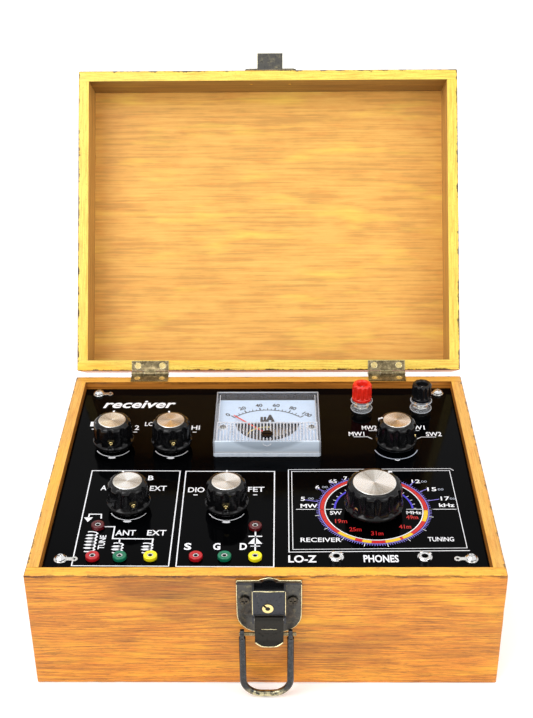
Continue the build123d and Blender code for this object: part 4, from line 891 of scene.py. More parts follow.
# transistor letters and diode sign in the second field
for s, x in (("S", -41.9), ("G", -26.3), ("D", -12.0)):
    white.text(s, x, -69.0, 5.4, width=3.9, bold=0.03)
white.line([(-5.7, -56.0), (-5.6, -73.4)], 0.85)
white.poly([(-9.6, -66.8), (-1.8, -66.8), (-5.7, -60.8)])
white.line([(-9.4, -60.4), (-2.0, -60.4)], 0.9)
white.line([(-8.2, -68.8), (-3.0, -68.8)], 0.6)

# tuning scale
DX, DY = KPOS["tuning"][0] + 0.3, KPOS["tuning"][1] + 1.2
white.line([(16.6, DY), (42.4, DY)], 0.42)
white.line([(78.2, DY), (106.2, DY)], 0.42)
violet.arc(DX, DY, 30.6, 0, 360, 0.55, 120)
for i in range(0, 61):
    a = 180 - i * 3.0
    violet.tick(DX, DY, 30.6, 33.2 if i % 5 == 0 else 31.9, a, 0.35)
for i in range(0, 73):
    a = 180 + i * 2.5
    (white if i % 9 == 4 else violet).tick(DX, DY, 30.6, 33.4 if i % 9 == 4 else 32.2, a, 0.34)
bands = [(-2, 182, "r"), (182, 225, "r"), (225, 246, "y"), (246, 254, "r"), (254, 264, "y"), (264, 279, "r"),
         (279, 296, "y"), (296, 299, "r"), (299, 312, "y"), (312, 338, "r"), (338, 358, "y")]
for a0, a1, c in bands:
    (red if c == "r" else yellow).arc(DX, DY, 28.9, a0, a1, 2.2)
white.arc(DX, DY, 27.3, 0, 360, 0.6, 120)
blue.arc(DX, DY, 21.8, 2, 70, 1.15)
blue.arc(DX, DY, 21.8, 110, 178, 1.15)
for i in range(0, 8):
    for a in (2 + i * 9.6, 178 - i * 9.6):
        white.tick(DX, DY, 22.4, 23.8, a, 0.4)
for s, x, y, h, w in (("5", 20.6, -26.6, 3.6, 2.4), ("6", 29.2, -15.6, 3.6, 2.4), ("65", 38.2, -9.8, 3.4, 4.6), ("7", 45.6, -6.9, 3.4, 2.2),
                      ("12", 86.0, -10.0, 3.4, 4.8), ("15", 94.4, -17.6, 3.5, 5.2), ("17", 101.0, -26.4, 3.6, 5.0)):
    white.text(s, x, y, h, width=w, bold=0.012)
for s, x, y in (("00", 25.2, -26.4), ("00", 33.4, -15.4), ("00", 90.6, -10.2), ("00", 99.4, -17.8), ("00", 105.2, -26.6)):
    grey.text(s, x, y, 1.9, width=3.2)
for a, r0, r1 in ((167, 31.8, 39.2), (148, 31.8, 37.4), (132, 31.8, 36.4), (46, 31.8, 36.2), (31, 31.8, 37.0), (14, 31.8, 38.6)):
    violet.tick(DX, DY, r0, r1, a, 0.45)
for s, x, y, h, w in (("MW", 24.0, -33.2, 3.6, 9.6), ("kHz", 101.2, -32.6, 3.2, 8.6), ("SW", 38.8, -39.6, 3.2, 6.6), ("MHz", 82.2, -39.4, 2.8, 8.4)):
    white.text(s, x, y, h, width=w, bold=0.02)
for s, x, y in (("19m", 41.4, -47.0), ("25m", 48.9, -54.3), ("31m", 60.6, -57.8), ("41m", 76.2, -52.0), ("49m", 80.8, -43.6)):
    red.text(s, x, y, 3.4, width=6.6, bold=0.012)
white.text("RECEIVER", 29.8, -63.4, 3.6, width=22.0, bold=0.01)
white.text("TUNING", 94.6, -62.9, 3.6, width=14.0, bold=0.01)
# jack labels
white.text("LO-Z", 19.6, -79.4, 5.6, width=15.0, bold=0.025)
white.text("PHONES", 61.2, -79.2, 5.6, width=18.6, bold=0.025)
for o, nm, mt in ((white, "panel_print_white", ink_white), (grey, "panel_print_grey", ink_grey), (violet, "panel_print_violet", ink_violet),
                  (blue, "panel_print_blue", ink_blue), (red, "panel_print_red", ink_red), (yellow, "panel_print_yellow", ink_yellow)):
    o.make(nm, mt, "case", "panel")


# ================================================================ knobs
def knob_mesh(r_top, r_mid, r_skirt, z0, z1, flutes, r_disc, n=180, depth=1.25):
    """Pressed knob: plain skirt, waisted fluted body, eased crown with a recess for the disc, hollow underneath."""
    H = z1 - z0
    prof = [(r_skirt - 1.6, 0.0, 0), (r_skirt - 0.25, 0.0, 0), (r_skirt, 0.3, 0), (r_skirt, 1.5, 0), (r_skirt - 0.3, 2.0, 0),
            (r_mid + 0.55, 2.35, 0), (r_mid + 0.25, 2.7, 0.1), (r_mid, 3.3, 0.7)]
    k = 10
    for i in range(k + 1):
        t = i / k
        prof.append((r_mid + (r_top - r_mid) * t, 3.8 + (H - 3.8 - 2.2) * t, 1.0))
    prof += [(r_top - 0.10, H - 1.75, 0.85), (r_top - 0.45, H - 1.15, 0.55), (r_top - 1.0, H - 0.6, 0.28), (r_top - 1.6, H - 0.22, 0.1),
             (r_disc + 0.75, H - 0.02, 0), (r_disc + 0.35, H, 0), (r_disc + 0.12, H - 0.15, 0), (r_disc + 0.1, H - 0.9, 0), (3.4, H - 0.9, 0),
             (3.05, H - 1.2, 0), (3.05, 2.0, 0), (6.5, 1.6, 0), (r_skirt - 2.4, 1.2, 0), (r_skirt - 2.0, 0.4, 0)]
    verts, faces = [], []
    for r, z, fl in prof:
        for i in range(n):
            a = 2 * math.pi * i / n
            c = math.cos(flutes * (a - math.pi / flutes))
            g = max(0.0, c * 1.25 - 0.25) ** 0.55 if c > 0.2 else 0.0
            rr = r - depth * fl * g
            verts.append((rr * math.cos(a), rr * math.sin(a), z0 + z))
    m = len(prof)
    for j in range(m):
        for i in range(n):
            a, b = j * n + i, j * n + (i + 1) % n
            c, d = ((j + 1) % m) * n + (i + 1) % n, ((j + 1) % m) * n + i
            faces.append((a, b, c, d))
    return verts, faces


def rbox(x0, x1, y0, y1, z0, z1, r=0.15):
    bm = bmesh.new()
    bmesh.ops.create_cube(bm, size=1.0)
    for q in bm.verts:
        q.co = Vector(((x0 + x1) / 2 + q.co.x * (x1 - x0), (y0 + y1) / 2 + q.co.y * (y1 - y0), (z0 + z1) / 2 + q.co.z * (z1 - z0)))
    bmesh.ops.bevel(bm, geom=list(bm.edges), offset=r, segments=2, profile=0.5, affect="EDGES", clamp_overlap=True)
    bm.verts.index_update()
    out = [tuple(q.co) for q in bm.verts], [tuple(w.index for w in g.verts) for g in bm.faces]
    bm.free()
    return out


def tube(points, r, n=10, closed=False):
    """A round bar along straight or curved points."""
    P = [Vector(p) for p in points]
    m = len(P)
    verts, faces = [], []
    ref = Vector((0.123, 0.456, 0.881))
    prev = None
    for i in range(m):
        a = P[(i - 1) % m] if (i > 0 or closed) else P[i]
        b = P[(i + 1) % m] if (i < m - 1 or closed) else P[i]
        t = (b - a).normalized()
        u = (prev - t * prev.dot(t)).normalized() if prev is not None else t.cross(ref).normalized()
        prev = u
        w = t.cross(u)
        for k in range(n):
            q = 2 * math.pi * k / n
            verts.append(tuple(P[i] + (u * math.cos(q) + w * math.sin(q)) * r))
    for i in range(m if closed else m - 1):
        j = (i + 1) % m
        for k in range(n):
            faces.append((i * n + k, i * n + (k + 1) % n, j * n + (k + 1) % n, j * n + k))
    if not closed:
        faces.append(tuple(range(n - 1, -1, -1)))
        faces.append(tuple(range((m - 1) * n, m * n)))
    return verts, faces


POINT = {"meter_range": 90.0, "load": 100.0, "coupling": 110.0, "detector": 90.0, "band": 165.0, "tuning": 48.0}
for k, ang in POINT.items():
    lo, hi = box_mm(k + "_knob")
    cx, cy = KPOS[k]
    big = k == "tuning"
    rs = (hi[0] - lo[0]) / 2
    r_top = 15.2 if big else 11.1
    r_disc = 11.9 if big else 8.1
    z0, z1 = lo[2] - PT, hi[2] - PT
    M = at(cx, cy, PT, math.radians(ang))
    body = "tuning" if big else k + "_control"
    v, f = knob_mesh(r_top, r_top + (0.75 if big else 0.55), rs, z0, z1, 12 if big else 9, r_disc)
    obj_from(k + "_knob_body", v, f, knob_black, body, M, replaces=[k + "_knob"], angle=40)
    # filled pointer line: over the crown and down the side
    p1 = rbox(r_disc + 0.4, r_top - 1.2, -0.5, 0.5, z1 - 0.7, z1 + 0.12, 0.08)
    p2 = rbox(r_top - 1.5, r_top + 0.1, -0.5, 0.5, z1 - 3.4, z1 - 0.45, 0.2)
    v, f, i = join(p1, p2)
    obj_from(k + "_knob_pointer", v, f, ink_white, body, M)
    # face-turned disc with a rolled edge and a shallow dish
    prof = [(0, z1 - 0.75), (r_disc - 0.3, z1 - 0.75), (r_disc, z1 - 0.5), (r_disc, z1 + 0.02), (r_disc - 0.12, z1 + 0.16), (r_disc - 0.35, z1 + 0.2),
            (r_disc - 0.75, z1 + 0.17), (r_disc * 0.6, z1 + 0.12), (r_disc * 0.25, z1 + 0.09), (0.35, z1 + 0.08), (0, z1 + 0.04)]
    v, f = lathe(prof, 96)
    cap = [k + "_knob_cap"] if big else [k + "_knob_spindle"]
    obj_from(k + "_knob_disc", v, f, turned, body, M, replaces=cap, angle=25)
    # brass grub screw, in the side opposite the pointer, under a moulded arch
    gz = 9.5
    prof = [(0.35, -0.9), (0.35, -0.25), (1.15, -0.25), (1.3, -0.1), (1.3, 5.0), (0, 5.0)]
    head = lathe([(0, 0.55)] + [(0.5, 0.0), (1.05, -0.02), (1.28, 0.15), (1.3, 3.4), (0, 3.4)], 28)
    R = Matrix.Translation(Vector((-(r_top + 0.55), 0, gz))) @ Matrix.Rotation(math.pi / 2, 4, "Y")
    head = moved(head, R)
    v, f, i = join(head)
    obj_from(k + "_grub_screw", v, f, brass, body, M)
    arch = [(-(r_top + 1.0 - 0.05 * abs(t)), 1.75 * math.sin(q), z0 + 2.3 + 2.6 * math.cos(q))
            for q, t in ((math.radians(b), b / 90) for b in range(-90, 91, 15))]
    v, f = tube(arch, 0.32, 8)
    obj_from(k + "_knob_arch", v, f, knob_black, body, M)
    if not big:
        sp = lathe([(0, -10.5), (2.7, -10.5), (3.0, -10.2), (3.0, 13.2), (2.8, 13.5), (0, 13.5)], 40)
        obj_from(k + "_spindle_rod", sp[0], sp[1], steel, body, M)

# ================================================================ panel meter
MLO, MHI = box_mm("meter_cover")
HLO, HHI = box_mm("meter_housing")
MB = PT + 2.6


def housing_material():
    """White moulding above the panel with a shaded strip behind the scale; black below."""
    m = Mat("meter_moulding")
    x, y, z = m.sep()
    up = m.remap(z, PT - 0.1, PT + 0.1)
    n = m.noise((0.4, 0.4, 0.4), (2, 2, 2), 3.0)
    w = m.mix(m.remap(n, 0.35, 0.7), srgb(206, 218, 232), srgb(226, 234, 244))
    strip = m.mix(m.remap(m.noise((0.05, 1.5, 1.5), (1, 1, 1), 3.0), 0.4, 0.65), (0.022, 0.020, 0.012), (0.055, 0.050, 0.032))
    w = m.mix(m.math("MULTIPLY", m.remap(y, 67.0, 67.3), m.remap(m.math("ABSOLUTE", x), 30.6, 30.3)), w, strip)
    k = m.mix(m.remap(n, 0.35, 0.7), (0.008, 0.008, 0.009), (0.02, 0.02, 0.022))
    r2 = m.math("ADD", m.math("POWER", x, 2.0), m.math("POWER", m.math("SUBTRACT", y, 41.0), 2.0))
    bore = m.remap(r2, 24.5 ** 2, 24.9 ** 2, 1.0, 0.0)
    c = m.mix(up, k, w)
    c = m.mix(bore, c, (0.012, 0.012, 0.013))
    fine = m.noise((3, 3, 3), (0, 0, 0), 2.0)
    m.set(color=c, rough=m.math("MULTIPLY_ADD", n, 0.15, 0.22), normal=m.bump(fine, 0.1, 0.01), coat=0.3, coat_rough=0.05)
    return m.mat


refine("meter_housing", housing_material(), 0.25, 2)

# clear cover: thin walls, whitish bars along the arrises as a painted highlight, window, ribbed front half
t = 1.5
x0, x1, y0, y1, z1 = MLO[0], MHI[0], MLO[1], MHI[1], PT + 11.0
RB0, RB1 = y0 + 1.2, 35.8
walls = [rbox(x0, x0 + t, y0, y1, MB, z1, 0.45), rbox(x1 - t, x1, y0, y1, MB, z1, 0.45),
         rbox(x0 + t * 0.5, x1 - t * 0.5, y1 - t, y1, MB, z1, 0.45)]
v, f, i = join(*walls)
obj_from("meter_cover_walls", v, f, cover_wall, "case", replaces=["meter_cover"])
v, f = rbox(x0 + t * 0.5, x1 - t * 0.5, y0, y0 + t, MB, z1, 0.45)
obj_from("meter_cover_front", v, f, cover_frost, "case")
edges = [tube([(x0 + 0.55, y0 + 0.55, z1 - 0.5), (x1 - 0.55, y0 + 0.55, z1 - 0.5), (x1 - 0.55, y1 - 0.55, z1 - 0.5), (x0 + 0.55, y1 - 0.55, z1 - 0.5)], 0.5, 8, True)]
for xx in (x0 + 0.6, x1 - 0.6):
    for yy in (y0 + 0.6, y1 - 0.6):
        edges.append(tube([(xx, yy, MB + 0.1), (xx, yy, z1 - 0.5)], 0.55, 8))
edges.append(tube([(x0 + 2.4, y1 - 2.4, z1 - 1.3), (x0 + 2.4, y0 + 2.4, z1 - 1.3)], 0.22, 6))
edges.append(tube([(x1 - 2.4, y1 - 2.4, z1 - 1.3), (x1 - 2.4, y0 + 2.4, z1 - 1.3)], 0.22, 6))
v, f, i = join(*edges)
obj_from("meter_cover_arrises", v, f, cover_edge, "case", angle=50)
v, f = rbox(x0 + t, x1 - t, RB1, y1 - t, z1 - 1.2, z1 - 0.1, 0.12)
obj_from("meter_cover_window", v, f, cover_clear, "case")
v, f = rbox(x0 + t, x1 - t, RB0, RB1, z1 - 1.1, z1 - 0.5, 0.1)
obj_from("meter_cover_web", v, f, cover_clear, "case")
# the ribs run front to back, half-round, over the web
ribs = []
nr = 30
ZY = 22.9
pitch = (x1 - x0 - 2 * t - 1.0) / nr
for j in range(nr + 1):
    xc = x0 + t + 0.5 + pitch * j
    w = pitch * 0.46
    prof = []
    for a in range(0, 181, 30):
        prof.append((xc + w / 2 * math.cos(math.radians(a)), z1 - 0.55 + 0.6 * math.sin(math.radians(a))))
    k = len(prof)
    spans = [(RB0 + 0.2, RB1 - 0.3)]
    if abs(xc) < 4.0:
        q = math.sqrt(4.0 ** 2 - xc ** 2)
        spans = [(RB0 + 0.2, ZY - q), (ZY + q, RB1 - 0.3)]
    if abs(abs(xc) - 26.8) < 2.9:
        q = math.sqrt(2.9 ** 2 - (abs(xc) - 26.8) ** 2)
        spans = [(RB0 + 0.2, 30.2 - q), (30.2 + q, RB1 - 0.3)]
    for ya, yb in spans:
        vs = [(px, ya, pz) for px, pz in prof] + [(px, yb, pz) for px, pz in prof]
        fs = [(q2, q2 + 1, k + q2 + 1, k + q2) for q2 in range(k - 1)] + [tuple(range(k)), tuple(range(2 * k - 1, k - 1, -1)), (0, k, 2 * k - 1, k - 1)]
        ribs.append((vs, fs))
v, f, i = join(*ribs)
obj_from("meter_cover_ribs", v, f, cover_rib, "case", angle=50)
# the rails use the same whitish painted-highlight edge material
rails = [rbox(x0 + t, x1 - t, RB1 - 0.25, RB1 + 0.25, z1 - 1.0, z1 + 0.05, 0.12)]
v, f, i = join(*rails)
obj_from("meter_cover_rails", v, f, cover_edge, "case")

# dial plate with its scale
refine("meter_dial", dial_white, 0.08, 1)
DT = PT + 6.6
PVY = 27.4
dk = Ink(DT + 0.03)
pcx, pcy, R0 = 0.0, PVY, 28.6
dk.arc(pcx, pcy, R0, 45, 135, 0.72, 60)
for i in range(0, 21):
    a = 135 - 90 * i / 20
    dk.tick(pcx, pcy, R0, R0 + (2.9 if i % 4 == 0 else 2.0 if i % 2 == 0 else 1.3), a, 0.75 if i % 4 == 0 else 0.5)
for i, sx in enumerate(("0", "20", "40", "60", "80", "100")):
    a = 135 - 90 * i / 5
    rr = R0 + 6.0
    w = {"0": 2.4, "100": 6.0}.get(sx, 4.4)
    dk.text(sx, pcx + rr * math.cos(math.radians(a)), pcy + rr * math.sin(math.radians(a)) - (1.0 if sx in ("0", "100") else 0.2), 3.3, width=w, rot=(a - 90) * 0.85, bold=0.03)
dk.text("µA", 0.2, 46.6, 6.9, width=9.0, bold=0.07)
dk.make("meter_scale_print", ink_black, "case", "dial_white")
mk = Ink(DT + 0.03)
for xx in (-2.9, 0.0, 2.9):
    mk.line([(xx - 0.9, 43.2), (xx + 0.9, 43.2)], 0.9)
for s_ in (-1, 1):
    for q in range(6):
        mk.line([(s_ * (20.6 - q * 0.2), 40.5 - q * 2.6), (s_ * (22.6 - q * 0.4), 40.0 - q * 2.8)], 0.35)
mk.make("meter_scale_marks", ink_black, "case", "dial_white")
# scale screws in raised white bosses
for s_ in (-1, 1):
    xx = 26.8 * s_
    boss = lathe([(0, DT + 0.05), (3.1, DT + 0.05), (3.1, DT + 0.3), (2.7, DT + 0.6), (1.9, DT + 0.6), (0, DT + 0.6)], 36)
    T = Matrix.Translation(Vector((xx, 36.0, 0)))
    v, f, i = join(moved(boss, T))
    obj_from("scale_screw_seat_" + ("l" if s_ < 0 else "r"), v, f, white_body, "case")
    hd = lathe([(0, DT + 1.6), (0.9, DT + 1.5), (1.5, DT + 1.2), (1.75, DT + 0.8), (1.75, DT + 0.5), (0, DT + 0.5)], 32)
    sl = rbox(-1.6, 1.6, -0.22, 0.22, DT + 1.2, DT + 1.66, 0.03)
    sl2 = rbox(-0.22, 0.22, -1.6, 1.6, DT + 1.2, DT + 1.66, 0.03)
    v, f, i = join((*moved(hd, T), 0), (*moved(sl, T), 1), (*moved(sl2, T), 1))
    obj_from("scale_screw_" + ("l" if s_ < 0 else "r"), v, f, [steel, bronze_dark], "case", idx=i)

# movement: black magnet, copper coil, hairspring and a dark well behind the window
refine("meter_magnet", magnet, 0.2, 2)
refine("meter_coil", copper, 0.15, 2)
hp = []
for i in range(0, 150, 8):
    a = math.radians(80 + i)
    hp.append((12.6 * math.cos(a), PVY + 1.4 + 11.4 * math.sin(a), PT + 4.4))
v, f = tube(hp, 0.42, 8)
obj_from("meter_hairspring", v, f, gold, "case")
well_v, well_f = [], []
n = 64
for rr, zz in ((19.4, PT + 5.9), (18.6, PT + 3.6), (18.6, PT + 2.9), (0.01, PT + 2.9)):
    for k in range(n + 1):
        a = math.pi + math.pi * k / n
        well_v.append((rr * math.cos(a), 42.0 + rr * math.sin(a), zz))
for j in range(3):
    for k in range(n):
        p = j * (n + 1) + k
        well_f.append((p, p + 1, p + n + 2, p + n + 1))
obj_from("meter_well", well_v, well_f, black_body, "case")
combs = [rbox(-17.6 + 2.2 * q, -16.9 + 2.2 * q, 38.0 - 0.9 * (8 - abs(q - 8)) * 1.6, 41.6, PT + 3.2, PT + 4.2, 0.1) for q in range(17)]
v, f, i = join(*combs)
obj_from("meter_bridge", v, f, steel, "case")
# pointer: tapered blade with a counterweight
ndl = math.radians(135)
Mp = at(0, PVY, PT + 8.0, ndl)
blade_v = [(-2.2, -0.6, -0.1), (24.0, -0.42, -0.1), (29.2, -0.3, -0.1), (29.2, 0.3, -0.1), (24.0, 0.42, -0.1), (-2.2, 0.6, -0.1)]
blade_v += [(p[0], p[1], 0.12) for p in blade_v]
blade_f = [(5, 4, 3, 2, 1, 0), (6, 7, 8, 9, 10, 11)] + [(q, (q + 1) % 6, 6 + (q + 1) % 6, 6 + q) for q in range(6)]
tail = rbox(-6.0, -1.4, -1.2, 1.2, -0.25, 0.25, 0.2)
hub = lathe([(0, -0.5), (1.6, -0.5), (1.7, -0.3), (1.7, 0.25), (1.4, 0.45), (0, 0.45)], 32)
staff = lathe([(0, -10.4), (0.55, -10.4), (0.55, -0.4), (0, -0.4)], 16)
v, f, i = join((blade_v, blade_f, 0), (*tail, 1), (*hub, 1), (*staff, 2))
obj_from("pointer_blade", v, f, [lacquer_red, black_body, steel], "meter_movement", Mp, idx=i, replaces=["meter_pointer"])
refine("meter_zero_screw", [knob_black], 0.15, 2)
# moulded loop in the front wall below the zero screw
# drawn in the whitish painted-highlight edge material
v, f = tube([(-2.6, y0 + 0.5, z1 - 0.2), (-2.2, y0 + 0.05, z1 - 2.2), (0, y0 + 0.02, z1 - 3.4), (2.2, y0 + 0.05, z1 - 2.2), (2.6, y0 + 0.5, z1 - 0.2)], 0.35, 8)
obj_from("meter_front_loop", v, f, cover_edge, "case", angle=50)

# ================================================================ binding posts
sx_studs = refine("binding_post_studs", nickel, 0.15, 2)
for colour, mat in (("red", post_red), ("black", post_black)):
    lo, hi = box_mm(colour + "_post_cap")
    x, y = (lo[0] + hi[0]) / 2, (lo[1] + hi[1]) / 2
    R = (hi[0] - lo[0]) / 2
    za, zb = lo[2] - PT, hi[2] - PT
    prof = [(3.1, za + 6.6, 0), (3.1, zb - 3.0, 0), (3.25, zb - 1.6, 0), (3.6, zb - 0.25, 0), (3.9, zb, 0), (R - 1.0, zb, 0), (R - 0.45, zb - 0.25, 0.3), (R - 0.12, zb - 0.8, 0.8),
            (R, zb - 1.4, 1), (R, zb - 4.0, 1), (R, za + 3.4, 1), (R - 0.05, za + 2.9, 0.6), (R - 0.2, za + 2.6, 0), (R - 0.25, za + 2.2, 0), (R, za + 1.9, 0), (R, za + 0.4, 0),
            (R - 0.35, za, 0), (4.5, za, 0), (4.45, za + 6.5, 0)]
    n = 160
    vs, fs = [], []
    for r, z, fl in prof:
        for i2 in range(n):
            a = 2 * math.pi * i2 / n
            g = (0.5 - 0.5 * math.cos(12 * a)) ** 1.6
            rr = r - 0.75 * fl * g
            vs.append((rr * math.cos(a), rr * math.sin(a), z))
    m2 = len(prof)
    for j in range(m2):
        for i2 in range(n):
            fs.append((j * n + i2, j * n + (i2 + 1) % n, ((j + 1) % m2) * n + (i2 + 1) % n, ((j + 1) % m2) * n + i2))
    obj_from(colour + "_cap_knurled", vs, fs, mat, colour + "_cap", at(x, y, PT), replaces=[colour + "_post_cap"], angle=38)
    refine(colour + "_post_insert", brass, 0.15, 2)
cl = []
# painted highlight: the collar rims below are thin whitish rings in the edge material
collar_rims = []
for x in (59.0, 96.2):
    ring = ring_lathe([(3.1, 0.02), (6.2, 0.02), (6.65, 0.4), (6.72, 1.6), (6.1, 2.3), (6.0, 4.6), (6.6, 5.2), (6.72, 6.2), (6.3, 6.85), (5.6, 7.0), (3.1, 7.0)], 64)
    cl.append(moved(ring, Matrix.Translation(Vector((x, 67.5, PT)))))
    for rr_, zz_ in ((6.62, 0.9), (6.62, 6.5), (5.2, 7.0)):
        collar_rims.append(tube([(x + rr_ * math.cos(2 * math.pi * q / 48), 67.5 + rr_ * math.sin(2 * math.pi * q / 48), PT + zz_) for q in range(48)], 0.2, 6, True))
v, f, i = join(*cl)
obj_from("post_collars_turned", v, f, collar_clear, "case", replaces=["binding_post_collars"])
v, f, i = join(*collar_rims)
obj_from("post_collar_rims", v, f, cover_edge, "case", angle=60)
nuts = []
for x in (59.0, 96.2):
    hexa = []
    for zz, rr in ((0.15, 4.9), (0.5, 5.2), (2.6, 5.2), (2.9, 4.9)):
        hexa += [(rr * math.cos(math.radians(60 * q + 15)), rr * math.sin(math.radians(60 * q + 15)), zz) for q in range(6)]
    hf = [tuple(range(5, -1, -1)), tuple(range(18, 24))]
    for j in range(3):
        hf += [(j * 6 + q, j * 6 + (q + 1) % 6, (j + 1) * 6 + (q + 1) % 6, (j + 1) * 6 + q) for q in range(6)]
    nuts.append(moved((hexa, hf), Matrix.Translation(Vector((x, 67.5, PT)))))
v, f, i = join(*nuts)
obj_from("post_base_nuts", v, f, nickel, "case", angle=25)

# ================================================================ sockets, jacks, corner screws
for node, mat, slot in (("red_socket_bushes", sock_red, "red_plastic"), ("green_socket_bushes", sock_green, "green_plastic"),
                        ("yellow_socket_bushes", sock_yellow, "yellow_plastic")):
    refine(node, mat, 0.22, 3)
o = bpy.data.objects["red_socket_bushes_finished"]
o.data.materials.append(sock_dark_red)
for p in o.data.polygons:
    if p.center.y * 1000 > -60:
        p.material_index = 1
refine("socket_sleeves", chrome, 0.12, 2)
refine("phone_jacks", [chrome], 0.2, 2)
rings = []
for x in (37.5, 84.2):
    rg = ring_lathe([(3.05, 0.05), (3.9, 0.05), (3.98, 0.5), (3.9, 1.1), (3.5, 1.75), (3.2, 2.0), (2.7, 2.05), (2.45, 1.8), (2.4, 1.0), (3.05, 0.9)], 64)
    rings.append(moved(rg, Matrix.Translation(Vector((x, -79.9, PT)))))
    for q in range(4):
        lug = rbox(2.5, 3.95, -0.95, 0.95, 1.2, 2.9, 0.25)
        rings.append(moved(lug, Matrix.Translation(Vector((x, -79.9, PT))) @ Matrix.Rotation(math.radians(30 + 90 * q), 4, "Z")))
v, f, i = join(*rings)
obj_from("jack_ring_nuts", v, f, chrome, "case")
refine("solder_lugs", tinned, 0.1, 2)
refine("panel_screws", chrome, 0.3, 3)

# ================================================================ latch, catch, hinges
refine("latch_backplate", [bronze_block], 0.0, 2, shade=28)
refine("latch_lever", [bronze_dark], 0.0, 2, shade=28)
LX = (box_mm("latch_backplate")[0][0] + box_mm("latch_backplate")[1][0]) / 2
BX, BY, BT, BB = 8.7, -108.0, 72.15, 53.8
# bright brass lines on the block's sides and top and round the plate's lip: rubbed brass and a painted edge highlight
worn = [tube([(LX - BX + 0.25, BY + 0.25, BB + 0.2), (LX - BX + 0.25, BY + 0.2, 60.0), (LX - BX + 0.25, BY + 0.25, BT)], 0.27, 8),
        tube([(LX + BX - 0.25, BY + 0.25, BB + 0.2), (LX + BX - 0.25, BY + 0.2, 60.0), (LX + BX - 0.25, BY + 0.25, BT)], 0.27, 8),
        tube([(LX - BX + 0.6, BY + 0.12, BT), (LX, BY + 0.06, BT + 0.05), (LX + BX - 0.6, BY + 0.12, BT)], 0.30, 8)]
lipz = box_mm("latch_backplate")[1][2] - 0.35
worn.append(tube([(LX - 16.8, -101.65, lipz - 1.2), (LX - 16.5, -101.7, lipz), (LX - 5.2, -101.75, lipz + 0.05), (LX - 4.2, -101.75, lipz + 0.9), (LX, -101.75, lipz + 1.9),
                  (LX + 4.2, -101.75, lipz + 0.9), (LX + 5.2, -101.75, lipz + 0.05), (LX + 16.5, -101.7, lipz), (LX + 16.8, -101.65, lipz - 1.2)], 0.26, 8))
side = []
for k in range(0, 9):
    q = math.radians(90 * k / 8)
    side.append((16.75 - 11.8 * (1 - math.cos(q)), 50.0 - 11.8 * math.sin(q)))
for s_ in (-1, 1):
    pts = [(LX + s_ * 16.8, -100.35, 71.4), (LX + s_ * 16.85, -100.35, 60.0)] + [(LX + s_ * px, -100.35, pz + 0.1) for px, pz in side]
    worn.append(tube(pts, 0.26, 8))
v, f, i = join(*worn)
obj_from("latch_worn_lit_arrises", v, f, bronze_edge_worn_lit, "case", angle=60)
# the plate round the block is paler than the block itself
pl = bpy.data.objects["latch_backplate_finished"].data
pl.materials.append(bronze)
for q in pl.polygons:
    if q.center.y > -0.1012:
        q.material_index = 1
LLO, LHI = box_mm("latch_lever")
LW = (LHI[0] - LLO[0]) / 2 - 0.2
LCX = (LHI[0] + LLO[0]) / 2


def lever_y(z):
    pts = [(38.4, -111.9), (39.2, -112.5), (42.0, -111.0), (45.0, -110.4), (56.0, -110.4)]
    for (z0_, y0_), (z1_, y1_) in zip(pts, pts[1:]):
        if z <= z1_:
            return y0_ + (y1_ - y0_) * (z - z0_) / (z1_ - z0_)
    return -110.4


# bright lip round the lever's lower edge is rubbed brass and a painted highlight; the line along the bend is a painted
# highlight
arc = []
for k in range(-10, 11):
    t_ = k / 10.0
    zz = 38.45 + 2.6 * t_ * t_
    arc.append((LCX + LW * t_, lever_y(zz) + 0.05, zz))
crease_highlight = [(LCX + LW * k * 0.55 / 4, lever_y(49.0) + 0.12, 49.0 + 0.12 * math.sin(k * 1.7)) for k in range(-4, 5)]
v, f, i = join(tube(arc, 0.36, 8), tube(crease_highlight, 0.2, 8))
obj_from("lever_worn_lit_lip", v, f, bronze_edge_worn_lit, "lever", angle=60)
refine("latch_bail", [bronze_bail], 0.25, 2, shade=50)
refine("bail_pin", [hinge_brass], 0.2, 2)
o = refine("lock_cylinder", [brass, bronze_dark], 0.2, 2)
KLO, KHI = box_mm("lock_cylinder")
kx, kz = (KLO[0] + KHI[0]) / 2, (KLO[2] + KHI[2]) / 2
for q in o.data.polygons:
    c_ = q.center * 1000
    if math.hypot(c_.x - kx, c_.z - kz) < 2.6 and c_.y > KLO[1] + 0.12:
        q.material_index = 1
v, f = lathe([(0, 0.0), (1.25, 0.0), (1.25, 0.12), (0, 0.12)], 24)
R_ = Matrix.Translation(Vector((kx, KLO[1] + 0.10, kz))) @ Matrix.Rotation(math.pi / 2, 4, "X")
v, f = moved((v, f), R_)
v2, f2 = rbox(-2.0, 0.0, -0.1, 0.12, -0.42, 0.42, 0.03)
v2, f2 = moved((v2, f2), Matrix.Translation(Vector((kx, KLO[1], kz))) @ Matrix.Rotation(math.radians(45), 4, "Y"))
v, f, i = join((v, f), (v2, f2))
obj_from("lock_keyway", v, f, bronze_dark, "lock")
# the bevel faces of catch and hinge leaves take the bright edge brass: rubbed brass and a painted edge highlight
refine("lid_catch", [bronze, bronze_edge_worn_lit], 0.32, 2, edge=1, angle=50)
refine("hinge_leaves_case", [hinge_brass, bronze_edge_worn_lit], 0.14, 2, edge=1)
refine("hinge_leaves_lid", [hinge_brass, bronze_edge_worn_lit], 0.14, 2, edge=1)
refine("pivot_pins", [steel], 0.15, 2)


